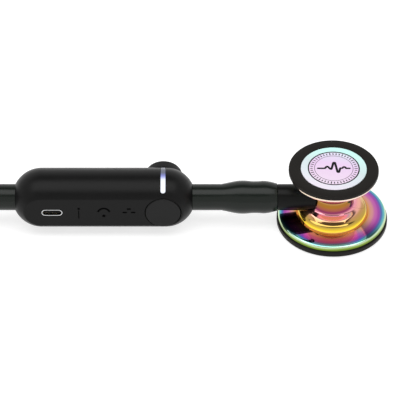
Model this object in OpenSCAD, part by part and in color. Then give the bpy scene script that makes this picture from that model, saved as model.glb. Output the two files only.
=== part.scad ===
// Electronic stethoscope, lying flat: chestpiece at the origin, headset towards -X.
// Millimetres. z = 0 is the face of the large diaphragm, which rests on the table.

/* [Tubing] */
// Outer diameter of the rubber tubing
tube_d = 11.35; // [9.5:0.05:13.7]
// Bore of the rubber tubing
tube_bore_d = 4.8; // [3.6:0.1:5.6]
// Length of the chest tube, from the amplifier module to the stem
chest_tube_l = 36.45; // [30:0.05:60]

/* [Chestpiece, large side] */
// Radius of the large rim
large_r = 23.85; // [19.5:0.05:29]
// Height of the large rim, from its bottom edge to the metal flange
large_rim_h = 2.7; // [2.3:0.1:4]
// Height of the diaphragm's face below the rim's edge
large_proud = 0.2; // [0.1:0.05:0.6]
// Width of the rim's bottom lip
large_lip_w = 2.7; // [2:0.1:4]
// Thickness of the metal flange's edge
flange_edge_h = 2.4; // [1.9:0.1:3]
// Rise of the flange from its edge to the shoulder
flange_rise = 0.6; // [0.2:0.1:1.2]
// Thickness of both diaphragms
diaphragm_t = 0.4; // [0.3:0.05:0.6]

/* [Chestpiece, hub] */
// Radius of the hub at its waist
waist_r = 8.7; // [8.4:0.1:11]
// Radius of the shoulder under the flare
shoulder_r = 15.3; // [14:0.1:17]
// Height of the shoulder above the flange
shoulder_h = 1.2; // [0.8:0.1:1.6]
// Width of the flare between the waist and the shoulder
flare_w = 4.3; // [3.5:0.1:5]
// Height of the straight part of the waist
waist_h = 2.2; // [1:0.1:4]
// Radius of the sound bores inside the hub
sound_r = 1.6; // [1:0.1:2]

/* [Chestpiece, small side] */
// Radius of the small rim
small_r = 19.2; // [17:0.1:23]
// Width of the small rim's flat ring
small_lip_w = 5.05; // [4:0.05:6]
// Height of the small rim's outer skirt, below its flat ring
small_skirt_h = 1.3; // [0.6:0.1:2]
// Height of the small side's face above the tube's axis
small_h = 16.1; // [15:0.1:20]

/* [Stem] */
// Length of the black sleeve between the hub and the chest tube
stem_sleeve_l = 16.5; // [14:0.5:24]
// Radius of the spigot that turns in the hub
spigot_r = 3.5; // [3.2:0.1:4]
// Radius of the sound bore in the stem
stem_bore_r = 1.6; // [1:0.1:2]
// Radius of the barbs that hold the tubing
barb_r = 3; // [2.8:0.1:3.4]
// Length of each barb
barb_l = 12; // [8:1:16]
// Radius of the detent ball
ball_r = 1; // [0.8:0.1:1.2]

/* [Module] */
// Radius of the module's round section
module_r = 12.65; // [11.5:0.05:15.2]
// Length of the module
module_l = 75.7; // [68:0.1:100]
// Distance from the axis to the front and back flats
flat_y = 10.35; // [9.6:0.05:12]
// Depth of each round end beyond its sphere's centre
end_depth = 11.2; // [10.6:0.1:11.4]
// Wall of the module's shells
shell_t = 1.6; // [1.2:0.1:2]
// Gap between the module and the table
module_lift = 1.05; // [0.3:0.05:4]
// Height of the bottom cover's seam below the axis
seam_drop = 8.3; // [8:0.1:9]
// Distance between the cover screws along the module
screw_pitch_x = 27.8; // [24:0.2:30]
// Distance between the cover screws across the module
screw_pitch_y = 10.4; // [9:0.2:11]

/* [Controls] */
// Distance from the module's right end to the controls
control_inset = 12.2; // [11.8:0.1:18]
// Radius of the front button
button_r = 7.45; // [5:0.05:7.6]
// Height of the button above the front flat
button_proud = 0.3; // [0.2:0.05:0.6]
// Travel of the front button
button_travel = 0.7; // [0.3:0.05:1]
// Radius of the rear knob
knob_r = 7.7; // [6:0.1:9.3]
// Thickness of the rear knob
knob_h = 3.9; // [3:0.1:6]
// Rounding of the knob's outer edge
knob_round = 1.2; // [0.4:0.1:1.5]
// Radius of the knob's shaft
shaft_r = 1.5; // [1:0.1:1.8]
// Width of the light bar
light_w = 2.05; // [1.2:0.05:2.4]
// Angle of the light bar to each side of the top
light_angle = 42; // [25:1:45]

/* [Port and symbols] */
// Distance from the module's left end to the charging port
port_inset = 15.95; // [14:0.05:20]
// Distance between the three symbols
symbol_pitch = 10.7; // [9:0.1:12]
// Distance from the module's middle to the middle symbol
symbol_shift = 0.2; // [-2:0.1:2]
// Size of each symbol
symbol_size = 5.6; // [3:0.1:7]

/* [Headset] */
// Radius of the Y hub
hub_r = 6.3; // [5.8:0.1:7.2]
// Distance between the two flex lines of the Y
flex_pitch = 13; // [11.5:0.5:16]
// Outer radius of the rubber arms
arm_r = 4.8; // [4.4:0.1:5.4]
// Length of the rubber arms
arm_l = 90; // [60:1:110]
// Angle of each arm from the middle line
arm_angle = 18; // [14:1:24]
// Outer radius of the metal ear tubes
ear_tube_r = 3.2; // [2.9:0.1:3.6]
// Wall of the metal ear tubes
ear_tube_t = 0.8; // [0.5:0.1:1.2]
// Length of metal tube inside each rubber arm
ear_insert_l = 24; // [15:1:40]
// Straight length of metal tube beyond each rubber arm
ear_straight_l = 40; // [25:1:60]
// Bend radius of the long curve of the ear tubes
ear_long_bend_r = 140; // [100:5:200]
// Angle at which the ear tubes leave the long curve
ear_turn_in = 12; // [6:1:16]
// Bend radius near the ear tips
ear_short_bend_r = 32; // [25:1:45]
// Angle of the ear tips from the middle line
ear_tip_angle = 62; // [50:1:70]
// Largest radius of the soft ear tips
tip_r = 6.3; // [5.5:0.1:7]

/* [Hidden] */
$fn = 96;

// Clearances
running = 0.06;    // a shaft in its bore
moving = 0.3;      // between pieces that pass each other
seated = 0.05;     // between pieces that are fitted together
over = 1;          // how far a cut runs past the face that it opens

tube_r = tube_d / 2;
axis_h = module_r + module_lift;

// Places along the tube's axis
hub_face = waist_r - 1.7;                  // where the hub is spot-faced for the stem
stem_face_x = -hub_face - moving;          // the sleeve's end at the hub
stem_end_x = stem_face_x - stem_sleeve_l;  // the sleeve's end at the chest tube
module_right_x = stem_end_x - chest_tube_l;
module_x = module_right_x - module_l / 2;
module_left_x = module_right_x - module_l;
module_half = module_l / 2 - end_depth;    // from the middle to each sphere's centre

// Large side, heights above the table
rim_bottom = large_proud;
flange_bottom = rim_bottom + large_rim_h;
flange_top = flange_bottom + flange_edge_h;
shoulder_bottom = flange_top + flange_rise;
flare_bottom = shoulder_bottom + shoulder_h;
waist_bottom = axis_h - 1.5;
waist_top = waist_bottom + waist_h;
body_foot_r = large_r - 1.6;
flange_r = large_r - 0.55;
lip_r = large_r - large_lip_w;

// Small side, heights above the table
small_face = axis_h + small_h;
small_rim_top = small_face - 0.1;
small_rim_t = 0.4;
cup_top = small_rim_top - small_rim_t;
cup_r = small_r - 0.3;
cup_round = 1.9;
cup_ledge = cup_top - small_skirt_h;
cup_edge_z = cup_ledge - 0.3;
skirt_in_r = cup_r - 0.6;
small_open_r = small_r - small_lip_w;
recess_r = cup_r - 2.3;
recess_bottom = cup_top - 1;

// Stem
spot_face_r = tube_r + moving;
sleeve_r = tube_r - 0.02;
hub_bore_r = spigot_r + running;
spigot_end_x = waist_r - 3.1;
clip_x = spigot_end_x - 0.8;
clip_t = 0.45;
clip_r = spigot_r + 1.1;
clip_groove_r = spigot_r - 0.6;
clip_pocket_r = clip_r + moving;
clip_shoulder_x = clip_x - 0.2;
seal_x = stem_face_x + 2.6;
seal_wire_r = 0.38;
seal_r = spigot_r - seal_wire_r + 0.01;
detent_x = -2.8;
ball_y = spigot_r + running + ball_r;
pocket_r = ball_r + 0.08;
screw_in_y = ball_y + ball_r + 1.2;
screw_out_y = sqrt(waist_r * waist_r - detent_x * detent_x) - 0.3;

// Moulded bulge of the chest tube: distance from its free end, growth over the tube's radius
bulge = [[0, 0.2], [0.5, 0.35], [3, 1], [5.6, 1.35], [8.2, 1.2], [10.8, 1.2], [13.4, 1.45],
         [16, 1.45], [18.6, 1.1], [21.2, 0.55], [23.8, 0]];
barb_step = 0.25;
barb_pitch = 3;

// Module, distances from its axis
inner_r = module_r - shell_t;
inner_flat = flat_y - shell_t;
inner_end = end_depth - 2.4;
control_x = module_right_x - control_inset;
button_groove = 0.2;
hole_r = button_r + button_groove;
tab_t = 1;
tab_reach = hole_r + 1.75;
tab_half_z = 2.5;
button_back = inner_flat - moving - tab_t;
// the right tab sits deeper, where the round end leaves room for it
hook_x = 4;
hook_reach = 9;
hook_low_z = -1;
hook_y = sqrt(pow(inner_r, 2) - pow(end_depth - control_inset + hook_reach, 2)
              - pow(tab_half_z, 2)) - moving;
knob_y = flat_y + moving;
bushing_r = shaft_r + 1.1;
encoder_y = 3;
board_top = -1.63;
board_t = 1;
board_y = 8;
board_left = module_x - module_half - 2.25;
board_right = module_right_x - 7.25;
board_bottom = board_top - board_t;
post_r = 1.6;
screw_r = 0.78;
screw_hole_r = 0.95;
thread_hole_r = 0.8;
head_r = 1.5;
head_h = 0.7;
head_pocket_r = head_r + 0.1;
head_seat = -(module_r - 2.75);
screw_top = 2.5;
port_x = module_left_x + port_inset;
port_w = 8.94;
port_h = 3.26;
port_wall = 0.35;
port_depth = 7.35;
light_x = control_x;
nozzle_wall_r = barb_r + seated;
nozzle_flange_r = 4.5;
nozzle_flange_t = 1.2;

// Headset
headset_z = hub_r;
hub_x = -410;
hub_l = 16.8;
pivot_x = hub_x - hub_l - 0.4 - arm_r;
pivot_y = flex_pitch / 2;
arm_bore_r = tube_bore_d / 2;
fork_x = hub_x - 6;
tip_sleeve_l = 6;
ear_end_l = 10;

// Centre line of the main tube, from the module to the Y hub
tube_route = [
    [module_left_x, 0, axis_h], [-150, 0, axis_h], [-165, 0, 13.2], [-180, 0.5, 11.8],
    [-195, 1.5, 9.8], [-210, 3.5, 7.8], [-225, 6.5, 6.4], [-240, 10, 5.8], [-255, 13, 5.7],
    [-270, 15, 5.7], [-285, 15.5, 5.7], [-300, 14, 5.7], [-315, 11.5, 5.7], [-330, 8, 5.7],
    [-345, 4.5, 5.7], [-360, 2, 5.8], [-375, 0.5, 6], [-390, 0, 6.2], [-400, 0, headset_z],
    [hub_x, 0, headset_z]
];

// Points of an arc about a centre
function arc(cx, cy, rx, ry, from, to, n) =
    [for (i = [0 : n]) let (a = from + (to - from) * i / n) [cx + rx * cos(a), cy + ry * sin(a)]];

function unit(v) = v / norm(v);

// Rings of points about a path; each ring stands square to the path, and starts square to axis
function ring_rows(path, r, n, axis) = [
    for (i = [0 : len(path) - 1])
        let (
            t = unit(path[min(i + 1, len(path) - 1)] - path[max(i - 1, 0)]),
            side = unit(cross(axis, t)),
            up = cross(t, side)
        )
        for (k = [0 : n - 1])
            let (a = 360 * k / n) path[i] + r * (cos(a) * side + sin(a) * up)
];

function ring_faces(rows, n) = concat(
    [[for (k = [n - 1 : -1 : 0]) k]],
    [for (i = [0 : rows - 2], k = [0 : n - 1])
        [i * n + k, i * n + (k + 1) % n, (i + 1) * n + (k + 1) % n, (i + 1) * n + k]],
    [[for (k = [0 : n - 1]) (rows - 1) * n + k]]
);

module swept_tube(path, r, n, axis) {
    polyhedron(points = ring_rows(path, r, n, axis), faces = ring_faces(len(path), n), convexity = 8);
}

// A swept tube with a bore: rings outside and inside, joined by a flat ring at each end
module swept_pipe(path, r, bore_r, n, axis) {
    rows = len(path);
    inner = rows * n;
    points = concat(ring_rows(path, r, n, axis), ring_rows(path, bore_r, n, axis));
    polyhedron(points = points, convexity = 8, faces = [
        for (k = [0 : n - 1]) let (next = (k + 1) % n) each concat(
            [for (i = [0 : rows - 2]) let (a = i * n, b = (i + 1) * n) each [
                [a + k, a + next, b + next, b + k],
                [inner + b + k, inner + b + next, inner + a + next, inner + a + k]]],
            [[k, inner + k, inner + next, next]],
            [let (e = inner - n) [e + next, inner + e + next, inner + e + k, e + k]]
        )
    ]);
}

// Turns a shape's z axis onto +X at the tube's axis, or onto +Y
module along_x(x = 0) {
    translate([x, 0, axis_h]) rotate([0, 90, 0]) children();
}

module along_y(x, y, z = 0) {
    translate([x, y, axis_h + z]) rotate([-90, 0, 0]) children();
}

module rod_x(r, x0, x1) {
    along_x(x0) cylinder(r = r, h = x1 - x0);
}

module rod_y(r, x, y0, y1, z = 0) {
    along_y(x, y0, z) cylinder(r = r, h = y1 - y0);
}

module rod_z(r, x, y, z0, z1) {
    translate([x, y, axis_h + z0]) cylinder(r = r, h = z1 - z0);
}

// A box from corner to corner, heights measured from the tube's axis
module block(low, high) {
    translate([low[0], low[1], axis_h + low[2]])
        cube([high[0] - low[0], high[1] - low[1], high[2] - low[2]]);
}

// ---- chestpiece ----

module body_turning() {
    rotate_extrude() polygon(concat(
        // large chamber, from the centre out to the foot
        [[0, flange_bottom + 0.7], [sound_r + 1, flange_bottom + 0.6],
         [lip_r - 3, rim_bottom + 2], [lip_r - 0.8, rim_bottom + 1.7],
         [lip_r - 0.8, rim_bottom + 0.95], [body_foot_r, rim_bottom + 0.95],
         [body_foot_r, flange_bottom], [flange_r, flange_bottom]],
        // rounded edge of the flange
        arc(flange_r - 1.6, flange_bottom, 1.6, flange_edge_h, 12, 90, 6),
        // shoulder and flare up to the waist
        [[shoulder_r, shoulder_bottom]],
        arc(shoulder_r - 2.3, shoulder_bottom + 0.1, 2.3, shoulder_h - 0.1, 0, 90, 5),
        arc(waist_r + flare_w, waist_bottom, flare_w, waist_bottom - flare_bottom, 265, 180, 10),
        // flare of the small side, then its rounded edge
        arc(cup_r - cup_round, waist_top, cup_r - cup_round - waist_r,
            cup_edge_z - cup_round - waist_top, 180, 96, 12),
        arc(cup_r - cup_round, cup_edge_z, cup_round, cup_round, -86, 0, 6),
        // step under the rim's skirt, then the recess and chamber of the small side
        [[cup_r, cup_ledge], [skirt_in_r, cup_ledge], [skirt_in_r, cup_top],
         [recess_r, cup_top], [recess_r, recess_bottom],
         [recess_r - 1.4, recess_bottom], [sound_r + 1, recess_bottom - 3], [0, recess_bottom - 3]]
    ));
}

module chest_body() {
    color("darkorchid") difference() {
        body_turning();
        // sound bore between the two chambers
        translate([0, 0, flange_bottom - over])
            cylinder(r = sound_r, h = recess_bottom - flange_bottom + over);
        // bore for the stem, with the clip's pocket on the far side
        rod_x(hub_bore_r, -waist_r - over, waist_r + over);
        rod_x(clip_pocket_r, clip_shoulder_x, waist_r + 6);
        // spot face that lets the stem's sleeve turn
        rod_x(spot_face_r, -large_r, -hub_face);
        rod_y(pocket_r, detent_x, 0, waist_r + over);
    }
}

module large_rim() {
    color("dimgray") rotate_extrude() polygon(concat(
        [[lip_r, rim_bottom]],
        arc(large_r - 0.9, rim_bottom + 0.9, 0.9, 0.9, -90, 0, 6),
        arc(large_r - 0.5, flange_bottom - 0.5, 0.5, 0.5, 0, 90, 4),
        [[body_foot_r + seated, flange_bottom], [body_foot_r + seated, rim_bottom + 0.45],
         [lip_r, rim_bottom + 0.45]]
    ));
}

module large_diaphragm() {
    color("whitesmoke") rotate_extrude() polygon([
        [0, 0], [lip_r - 0.55, 0], [lip_r - 0.15, rim_bottom + 0.5],
        [body_foot_r, rim_bottom + 0.5], [body_foot_r, rim_bottom + 0.5 + diaphragm_t],
        [lip_r - 0.4, rim_bottom + 0.5 + diaphragm_t], [lip_r - 0.8, diaphragm_t], [0, diaphragm_t]
    ]);
}

module small_rim() {
    color("dimgray") rotate_extrude() polygon(concat(
        [[small_open_r, cup_top], [small_open_r + 1, cup_top],
         [small_open_r + 1, recess_bottom + diaphragm_t + 0.1],
         [recess_r - seated, recess_bottom + diaphragm_t + 0.1],
         [recess_r - seated, cup_top]],
        [[skirt_in_r + seated, cup_top], [skirt_in_r + seated, cup_ledge], [small_r, cup_ledge]],
        arc(small_r - 0.35, small_rim_top - 0.3, 0.35, 0.3, 0, 90, 4),
        [[small_open_r, small_rim_top]]
    ));
}

module small_diaphragm() {
    face_r = small_open_r - 0.15;
    color("lavenderblush") rotate_extrude() polygon([
        [0, small_face], [face_r, small_face], [face_r, recess_bottom + diaphragm_t + 0.05],
        [recess_r - 0.1, recess_bottom + diaphragm_t + 0.05],
        [recess_r - 0.1, recess_bottom + 0.05], [face_r - diaphragm_t, recess_bottom + 0.05],
        [face_r - diaphragm_t, small_face - diaphragm_t], [0, small_face - diaphragm_t]
    ]);
}

module hub_plug() {
    plug_x = spigot_end_x + moving;
    color("goldenrod") difference() {
        rod_x(clip_pocket_r - seated, plug_x, waist_r - 1.7);
        rod_y(0.6, waist_r - 1.7, -clip_pocket_r, clip_pocket_r);
    }
}

module detent_ball() {
    color("silver") translate([detent_x, ball_y, axis_h]) sphere(r = ball_r);
}

module detent_spring() {
    turns = 3;
    coil_r = ball_r - 0.28;
    wire_r = 0.15;
    y0 = ball_y + ball_r * 0.75 + wire_r;
    y1 = screw_in_y - wire_r;
    steps = turns * 12;
    path = [for (i = [0 : steps])
        [detent_x + coil_r * cos(30 * i), y0 + (y1 - y0) * i / steps, axis_h + coil_r * sin(30 * i)]];
    color("silver") swept_tube(path, wire_r, 6, [0, 1, 0]);
}

module detent_screw() {
    color("gray") difference() {
        rod_y(pocket_r - seated, detent_x, screw_in_y, screw_out_y);
        along_y(detent_x, screw_out_y - 0.5) cylinder(r = 0.55, h = over, $fn = 6);
    }
}

// ---- stem and tubing ----

// Three low ridges on a nozzle, about local z
module barb(l, bore) {
    rotate_extrude() polygon(concat(
        [[bore, 0], [barb_r, 0]],
        [for (i = [1 : 3]) each [
            [barb_r, l - barb_pitch * (4 - i) + 0.4],
            [barb_r + barb_step, l - barb_pitch * (4 - i) + 0.4],
            [barb_r, l - barb_pitch * (4 - i) + 2.4]]],
        [[barb_r, l - 0.5], [barb_r - 0.5, l], [bore, l]]
    ));
}

module stem() {
    color("#262624") difference() {
        union() {
            rod_x(sleeve_r, stem_end_x, stem_face_x);
            rod_x(spigot_r, stem_face_x - over, spigot_end_x);
            translate([stem_end_x + seated, 0, axis_h]) rotate([0, -90, 0])
                barb(barb_l, stem_bore_r);
        }
        rod_x(stem_bore_r, stem_end_x - barb_l - over, sound_r);
        // side port that opens towards the large diaphragm
        rod_z(sound_r, 0, 0, -spigot_r - over, 0);
        // grooves for the seal and the clip
        along_x(seal_x - 0.75) difference() {
            cylinder(r = spigot_r + over, h = 1.5);
            cylinder(r = spigot_r - 2 * seal_wire_r, h = 1.5);
        }
        along_x(clip_x) difference() {
            cylinder(r = spigot_r + over, h = clip_t);
            cylinder(r = clip_groove_r, h = clip_t);
        }
        // dimples for the ball at each of the two listening positions
        for (s = [-1, 1]) translate([detent_x, s * (spigot_r + 0.65 * ball_r), axis_h])
            sphere(r = ball_r);
    }
}

module stem_seal() {
    color("black") along_x(seal_x) rotate_extrude()
        translate([seal_r, 0]) circle(r = seal_wire_r, $fn = 24);
}

module stem_clip() {
    color("silver") along_x(clip_x) difference() {
        cylinder(r = clip_r, h = clip_t);
        translate([0, 0, -over]) cylinder(r = clip_groove_r, h = clip_t + 2 * over);
        // gap of the open ring
        translate([0, -clip_groove_r / 2, -over]) cube([clip_r + over, clip_groove_r, 3 * over]);
    }
}

module chest_tube() {
    free_end = chest_tube_l;
    color("#23282a") difference() {
        along_x(module_right_x) rotate_extrude() polygon(concat(
            [[0, 0], [tube_r, 0]],
            [for (i = [len(bulge) - 1 : -1 : 0]) [tube_r + bulge[i][1], free_end - bulge[i][0]]],
            [[0, free_end]]
        ));
        rod_x(tube_bore_d / 2, module_right_x - over, stem_end_x + over);
        rod_x(barb_r, module_right_x - over, module_right_x + barb_l);
        rod_x(barb_r, stem_end_x - barb_l, stem_end_x + over);
    }
}

module main_tube() {
    color("#23282a") swept_tube(tube_route, tube_r, 12, [0, 0, 1]);
}

// ---- amplifier module ----

// A capsule along X with flats at the front and back and cut-off ends
module capsule(r, flat, end) {
    intersection() {
        union() {
            rod_x(r, module_x - module_half, module_x + module_half);
            for (s = [-1, 1]) translate([module_x + s * module_half, 0, axis_h]) sphere(r = r);
        }
        block([module_x - module_half - end, -flat, -r - over],
              [module_x + module_half + end, flat, r + over]);
    }
}

module below_seam(z) {
    block([module_left_x - over, -module_r, -module_r - over],
          [module_right_x + over, module_r, z]);
}

// A bar bent about the tube's axis, for the light guide and its slot
module light_bar(r0, r1, w, angle) {
    along_x(light_x) rotate([0, 0, 180 - angle]) rotate_extrude(angle = 2 * angle)
        translate([r0, -w / 2]) square([r1 - r0, w]);
}

// A slot shape along Y with round ends, centred on the port
module port_shape(w, h, y0, y1) {
    for (s = [-1, 1]) rod_y(h / 2, port_x + s * (w - h) / 2, y0, y1);
    block([port_x - (w - h) / 2, y0, -h / 2], [port_x + (w - h) / 2, y1, h / 2]);
}

module at_screws() {
    for (sx = [-1, 1], sy = [-1, 1])
        translate([module_x + sx * screw_pitch_x / 2, sy * screw_pitch_y / 2, 0]) children();
}

// The three symbols as solids, standing back from the front flat by the given depth
module symbols(from, to, grow) {
    s = symbol_size / 5.6;
    for (i = [-1 : 1]) translate([module_x + symbol_shift + i * symbol_pitch, -to, axis_h])
        rotate([90, 0, 0]) linear_extrude(height = from - to) {
            if (i == -1) {
                translate([0, 2.2 * s]) circle(r = 0.55 * s + grow);
                translate([-0.15 * s - grow, -3.2 * s - grow])
                    square([0.3 * s + 2 * grow, 4.4 * s + 2 * grow]);
            }
            if (i == 0) {
                difference() {
                    circle(r = 2.8 * s + grow);
                    circle(r = 2.1 * s - grow);
                    translate([-3 * s, -3 * s - grow]) square([6 * s, 3.5 * s]);
                }
                translate([0, -1.7 * s]) circle(r = 0.7 * s + grow);
            }
            if (i == 1) for (p = [[0, 2.1], [-1.8, 0.2], [1.8, 0.2]])
                translate([(p[0] - 0.95) * s - grow, (p[1] - 0.35) * s - grow])
                    square([1.9 * s + 2 * grow, 0.7 * s + 2 * grow]);
        }
}

module module_top_shell() {
    color("#252525") difference() {
        union() {
            difference() {
                capsule(module_r, flat_y, end_depth);
                capsule(inner_r, inner_flat, inner_end);
            }
            // bosses that the cover screws bite into
            at_screws() rod_z(post_r, 0, 0, board_top, inner_r - 0.55);
        }
        below_seam(-seam_drop);
        at_screws() rod_z(thread_hole_r, 0, 0, board_top - over, screw_top + 0.5);
        rod_y(hole_r, control_x, -module_r, -inner_flat + 1.25);
        rod_y(bushing_r + seated, control_x, inner_flat - over, module_r);
        light_bar(inner_r - over, module_r + over, light_w + 2 * seated, light_angle + 0.3);
        port_shape(port_w + 2 * seated, port_h + 2 * seated, -module_r, -inner_flat + over);
        symbols(flat_y + over, flat_y - 0.6, seated);
        for (s = [-1, 1]) rod_x(nozzle_wall_r, module_x + s * module_l / 2 - 2 * shell_t,
                                module_x + s * module_l / 2 + 2 * shell_t);
    }
}

// Ring that lies in the bottom cover's groove
module gasket_band() {
    intersection() {
        difference() {
            capsule(module_r - 0.7, flat_y - 0.6, end_depth - 1);
            capsule(module_r - 1.4, flat_y - 1.3, end_depth - 1.7);
        }
        block([module_left_x, -module_r, -seam_drop - 0.4], [module_right_x, module_r, -seam_drop]);
    }
}

module module_bottom_cover() {
    color("#202020") difference() {
        intersection() {
            union() {
                difference() {
                    capsule(module_r, flat_y, end_depth);
                    capsule(inner_r, inner_flat, inner_end);
                    block([module_left_x - over, -module_r, -seam_drop],
                          [module_right_x + over, module_r, module_r + over]);
                }
                at_screws() rod_z(post_r, 0, 0, -inner_r, board_bottom);
            }
            capsule(module_r, flat_y, end_depth);
        }
        gasket_band();
        at_screws() {
            rod_z(screw_hole_r, 0, 0, -module_r, board_bottom + over);
            rod_z(head_pocket_r, 0, 0, -module_r - over, head_seat);
        }
    }
}

module cover_gasket() {
    color("#404040") gasket_band();
}

module cover_screws() {
    color("silver") at_screws() difference() {
        union() {
            rod_z(screw_r, 0, 0, head_seat - seated, screw_top);
            rod_z(head_r, 0, 0, head_seat - head_h, head_seat);
        }
        translate([0, 0, axis_h + head_seat - head_h - over])
            cylinder(r = 0.65, h = over + 0.45, $fn = 6);
    }
}

module main_board() {
    color("darkgreen") difference() {
        block([board_left, -board_y, board_bottom], [board_right, board_y, board_top]);
        // room for the front button and its travel
        block([control_x - tab_reach - 0.5, -board_y - over, board_bottom - over],
              [board_right + over, -button_back + button_travel + 0.25, board_top + over]);
        at_screws() rod_z(screw_hole_r, 0, 0, board_bottom - over, board_top + over);
    }
}

module board_chips() {
    chips = [[-6, 0, 7, 7, 1.1], [6, 2.5, 5, 4, 0.9], [6, -3, 3.2, 3.2, 0.8], [-13.9, 0, 4, 3, 1]];
    color("#1c1c1c") for (c = chips) block(
        [module_x + c[0] - c[2] / 2, c[1] - c[3] / 2, board_top],
        [module_x + c[0] + c[2] / 2, c[1] + c[3] / 2, board_top + c[4]]);
}

module battery() {
    gap = post_r + 1;
    color("silver") block(
        [module_x - screw_pitch_x / 2 + gap, -6.2, -inner_r + 2.15],
        [module_x + screw_pitch_x / 2 - gap, 6.2, board_bottom - 0.6]);
}

module microphone() {
    x1 = module_right_x - 2.4 - nozzle_flange_t;
    color("silver") rod_x(3, x1 - 2.5, x1);
}

module speaker() {
    x0 = module_left_x + 2.4 + nozzle_flange_t;
    color("silver") rod_x(5.2, x0, x0 + 3.6);
}

// A hollow barb with a flange, about local z, its flange against the end wall's inside
module nozzle(l) {
    translate([0, 0, -2.4 - nozzle_flange_t]) difference() {
        cylinder(r = nozzle_flange_r, h = nozzle_flange_t);
        translate([0, 0, -over]) cylinder(r = stem_bore_r, h = nozzle_flange_t + 2 * over);
    }
    translate([0, 0, -2.4]) difference() {
        cylinder(r = barb_r, h = 2.4);
        translate([0, 0, -over]) cylinder(r = stem_bore_r, h = 2.4 + 2 * over);
    }
    barb(l, stem_bore_r);
}

module mic_nozzle() {
    color("gray") along_x(module_right_x) nozzle(barb_l - 1);
}

module speaker_nozzle() {
    color("gray") translate([module_left_x, 0, axis_h]) rotate([0, -90, 0]) nozzle(barb_l - 1);
}

module usb_shell() {
    color("silver") difference() {
        port_shape(port_w, port_h, -flat_y, -flat_y + port_depth);
        port_shape(port_w - 2 * port_wall, port_h - 2 * port_wall, -flat_y - over,
                   -flat_y + port_depth - 0.5);
    }
}

module usb_tongue() {
    color("black") block([port_x - 3.35, -flat_y + 0.5, -0.35],
                         [port_x + 3.35, -flat_y + port_depth - 0.5, 0.35]);
}

module front_button() {
    color("#303030") {
        rod_y(button_r, control_x, -flat_y - button_proud, -button_back);
        block([control_x - tab_reach, -button_back - tab_t, -tab_half_z],
              [control_x, -button_back, tab_half_z]);
        block([control_x + hook_x, -button_back - over, hook_low_z],
              [control_x + hook_x + 1.5, -hook_y + tab_t, tab_half_z]);
        block([control_x + hook_x, -hook_y, hook_low_z],
              [control_x + hook_reach, -hook_y + tab_t, tab_half_z]);
    }
}

module button_switch() {
    plunger_y = -button_back + button_travel + 0.1;
    color("dimgray") {
        block([control_x - 3, plunger_y + 0.45, board_top], [control_x + 3, -3.2, 2.4]);
        rod_y(1, control_x, plunger_y, plunger_y + 0.5);
    }
}

module rear_knob() {
    color("#2a2a2a") difference() {
        along_y(control_x, knob_y) rotate_extrude() polygon(concat(
            [[0, 0], [knob_r - 0.4, 0], [knob_r, 0.4]],
            arc(knob_r - knob_round, knob_h - knob_round, knob_round, knob_round, 0, 90, 8),
            [[0, knob_h]]
        ));
        rod_y(shaft_r, control_x, knob_y - over, knob_y + knob_h - 1);
    }
}

module encoder_shaft() {
    color("silver") rod_y(shaft_r, control_x, encoder_y + 1, knob_y + knob_h - 1);
}

module volume_encoder() {
    color("slategray") difference() {
        union() {
            block([control_x - 5, encoder_y, board_top], [control_x + 5, inner_flat - 0.3, 5]);
            rod_y(bushing_r, control_x, inner_flat - 0.4, flat_y);
        }
        rod_y(shaft_r + seated, control_x, encoder_y + 0.7, flat_y + over);
    }
}

module light_guide() {
    color("white") {
        light_bar(inner_r, module_r + 0.05, light_w, light_angle);
        block([light_x - 1, -1, -0.6], [light_x + 1, 1, inner_r + 0.1]);
    }
}

module status_light() {
    color("lightyellow") block([light_x - 0.8, -0.8, board_top], [light_x + 0.8, 0.8, -0.7]);
}

module symbol_inserts() {
    color("#0d0d0d") symbols(flat_y - 0.15, flat_y - 0.6, 0);
}

// ---- headset ----

// Turns local z onto the left arm's direction at its flex line; side is 1 for left, -1 for right
module at_flex(side) {
    translate([pivot_x, side * pivot_y, headset_z])
        rotate([0, 0, 180 - side * arm_angle]) rotate([0, 90, 0]) children();
}

module hub_rod(r, x0, x1, y) {
    translate([x1, y, headset_z]) rotate([0, 90, 0]) cylinder(r = r, h = x0 - x1);
}

module y_hub() {
    hub_end = hub_x - hub_l;
    lobe_r = hub_r - 0.3;
    lobe_x = hub_x - lobe_r - 0.2;
    color("#23282a") difference() {
        union() {
            hub_rod(hub_r, hub_x, fork_x - 2, 0);
            for (s = [-1, 1]) {
                hub_rod(lobe_r, lobe_x, hub_end, s * pivot_y);
                translate([lobe_x, s * pivot_y, headset_z]) sphere(r = lobe_r);
            }
            translate([hub_end, -pivot_y, headset_z - 4.5])
                cube([lobe_x - hub_end, 2 * pivot_y, 9]);
        }
        // inlet, cross channel and the two outlets
        hub_rod(arm_bore_r, hub_x + over, fork_x - 0.7, 0);
        translate([fork_x, pivot_y + 1, headset_z]) rotate([90, 0, 0])
            cylinder(r = arm_bore_r - 0.4, h = 2 * pivot_y + 2);
        for (s = [-1, 1]) hub_rod(arm_bore_r, fork_x + 0.7, hub_end - over, s * pivot_y);
        leaf_shape(0);
    }
}

// A strip of spring steel bent into a U, standing on edge between the two sound bores
module leaf_shape(inset) {
    bend_x = hub_x - hub_l + 4.3;
    leg = 4.3 + inset;
    translate([bend_x, 0, headset_z - 3.5]) linear_extrude(height = 7) {
        difference() {
            circle(r = 3.1);
            circle(r = 2.5);
            translate([-4, -4]) square([4, 8]);
        }
        for (s = [-1, 1]) translate([-leg, s * 2.8 - 0.3]) square([leg + 0.1, 0.6]);
    }
}

module leaf_spring() {
    color("silver") leaf_shape(-0.3);
}

module arm(side) {
    color("#23282a") at_flex(side) difference() {
        union() {
            sphere(r = arm_r);
            cylinder(r = arm_r, h = arm_l);
        }
        translate([0, 0, -arm_r - over]) cylinder(r = arm_bore_r, h = arm_l + arm_r + 2 * over);
        translate([0, 0, arm_l - ear_insert_l]) cylinder(r = ear_tube_r, h = ear_insert_l + over);
    }
}

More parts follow.
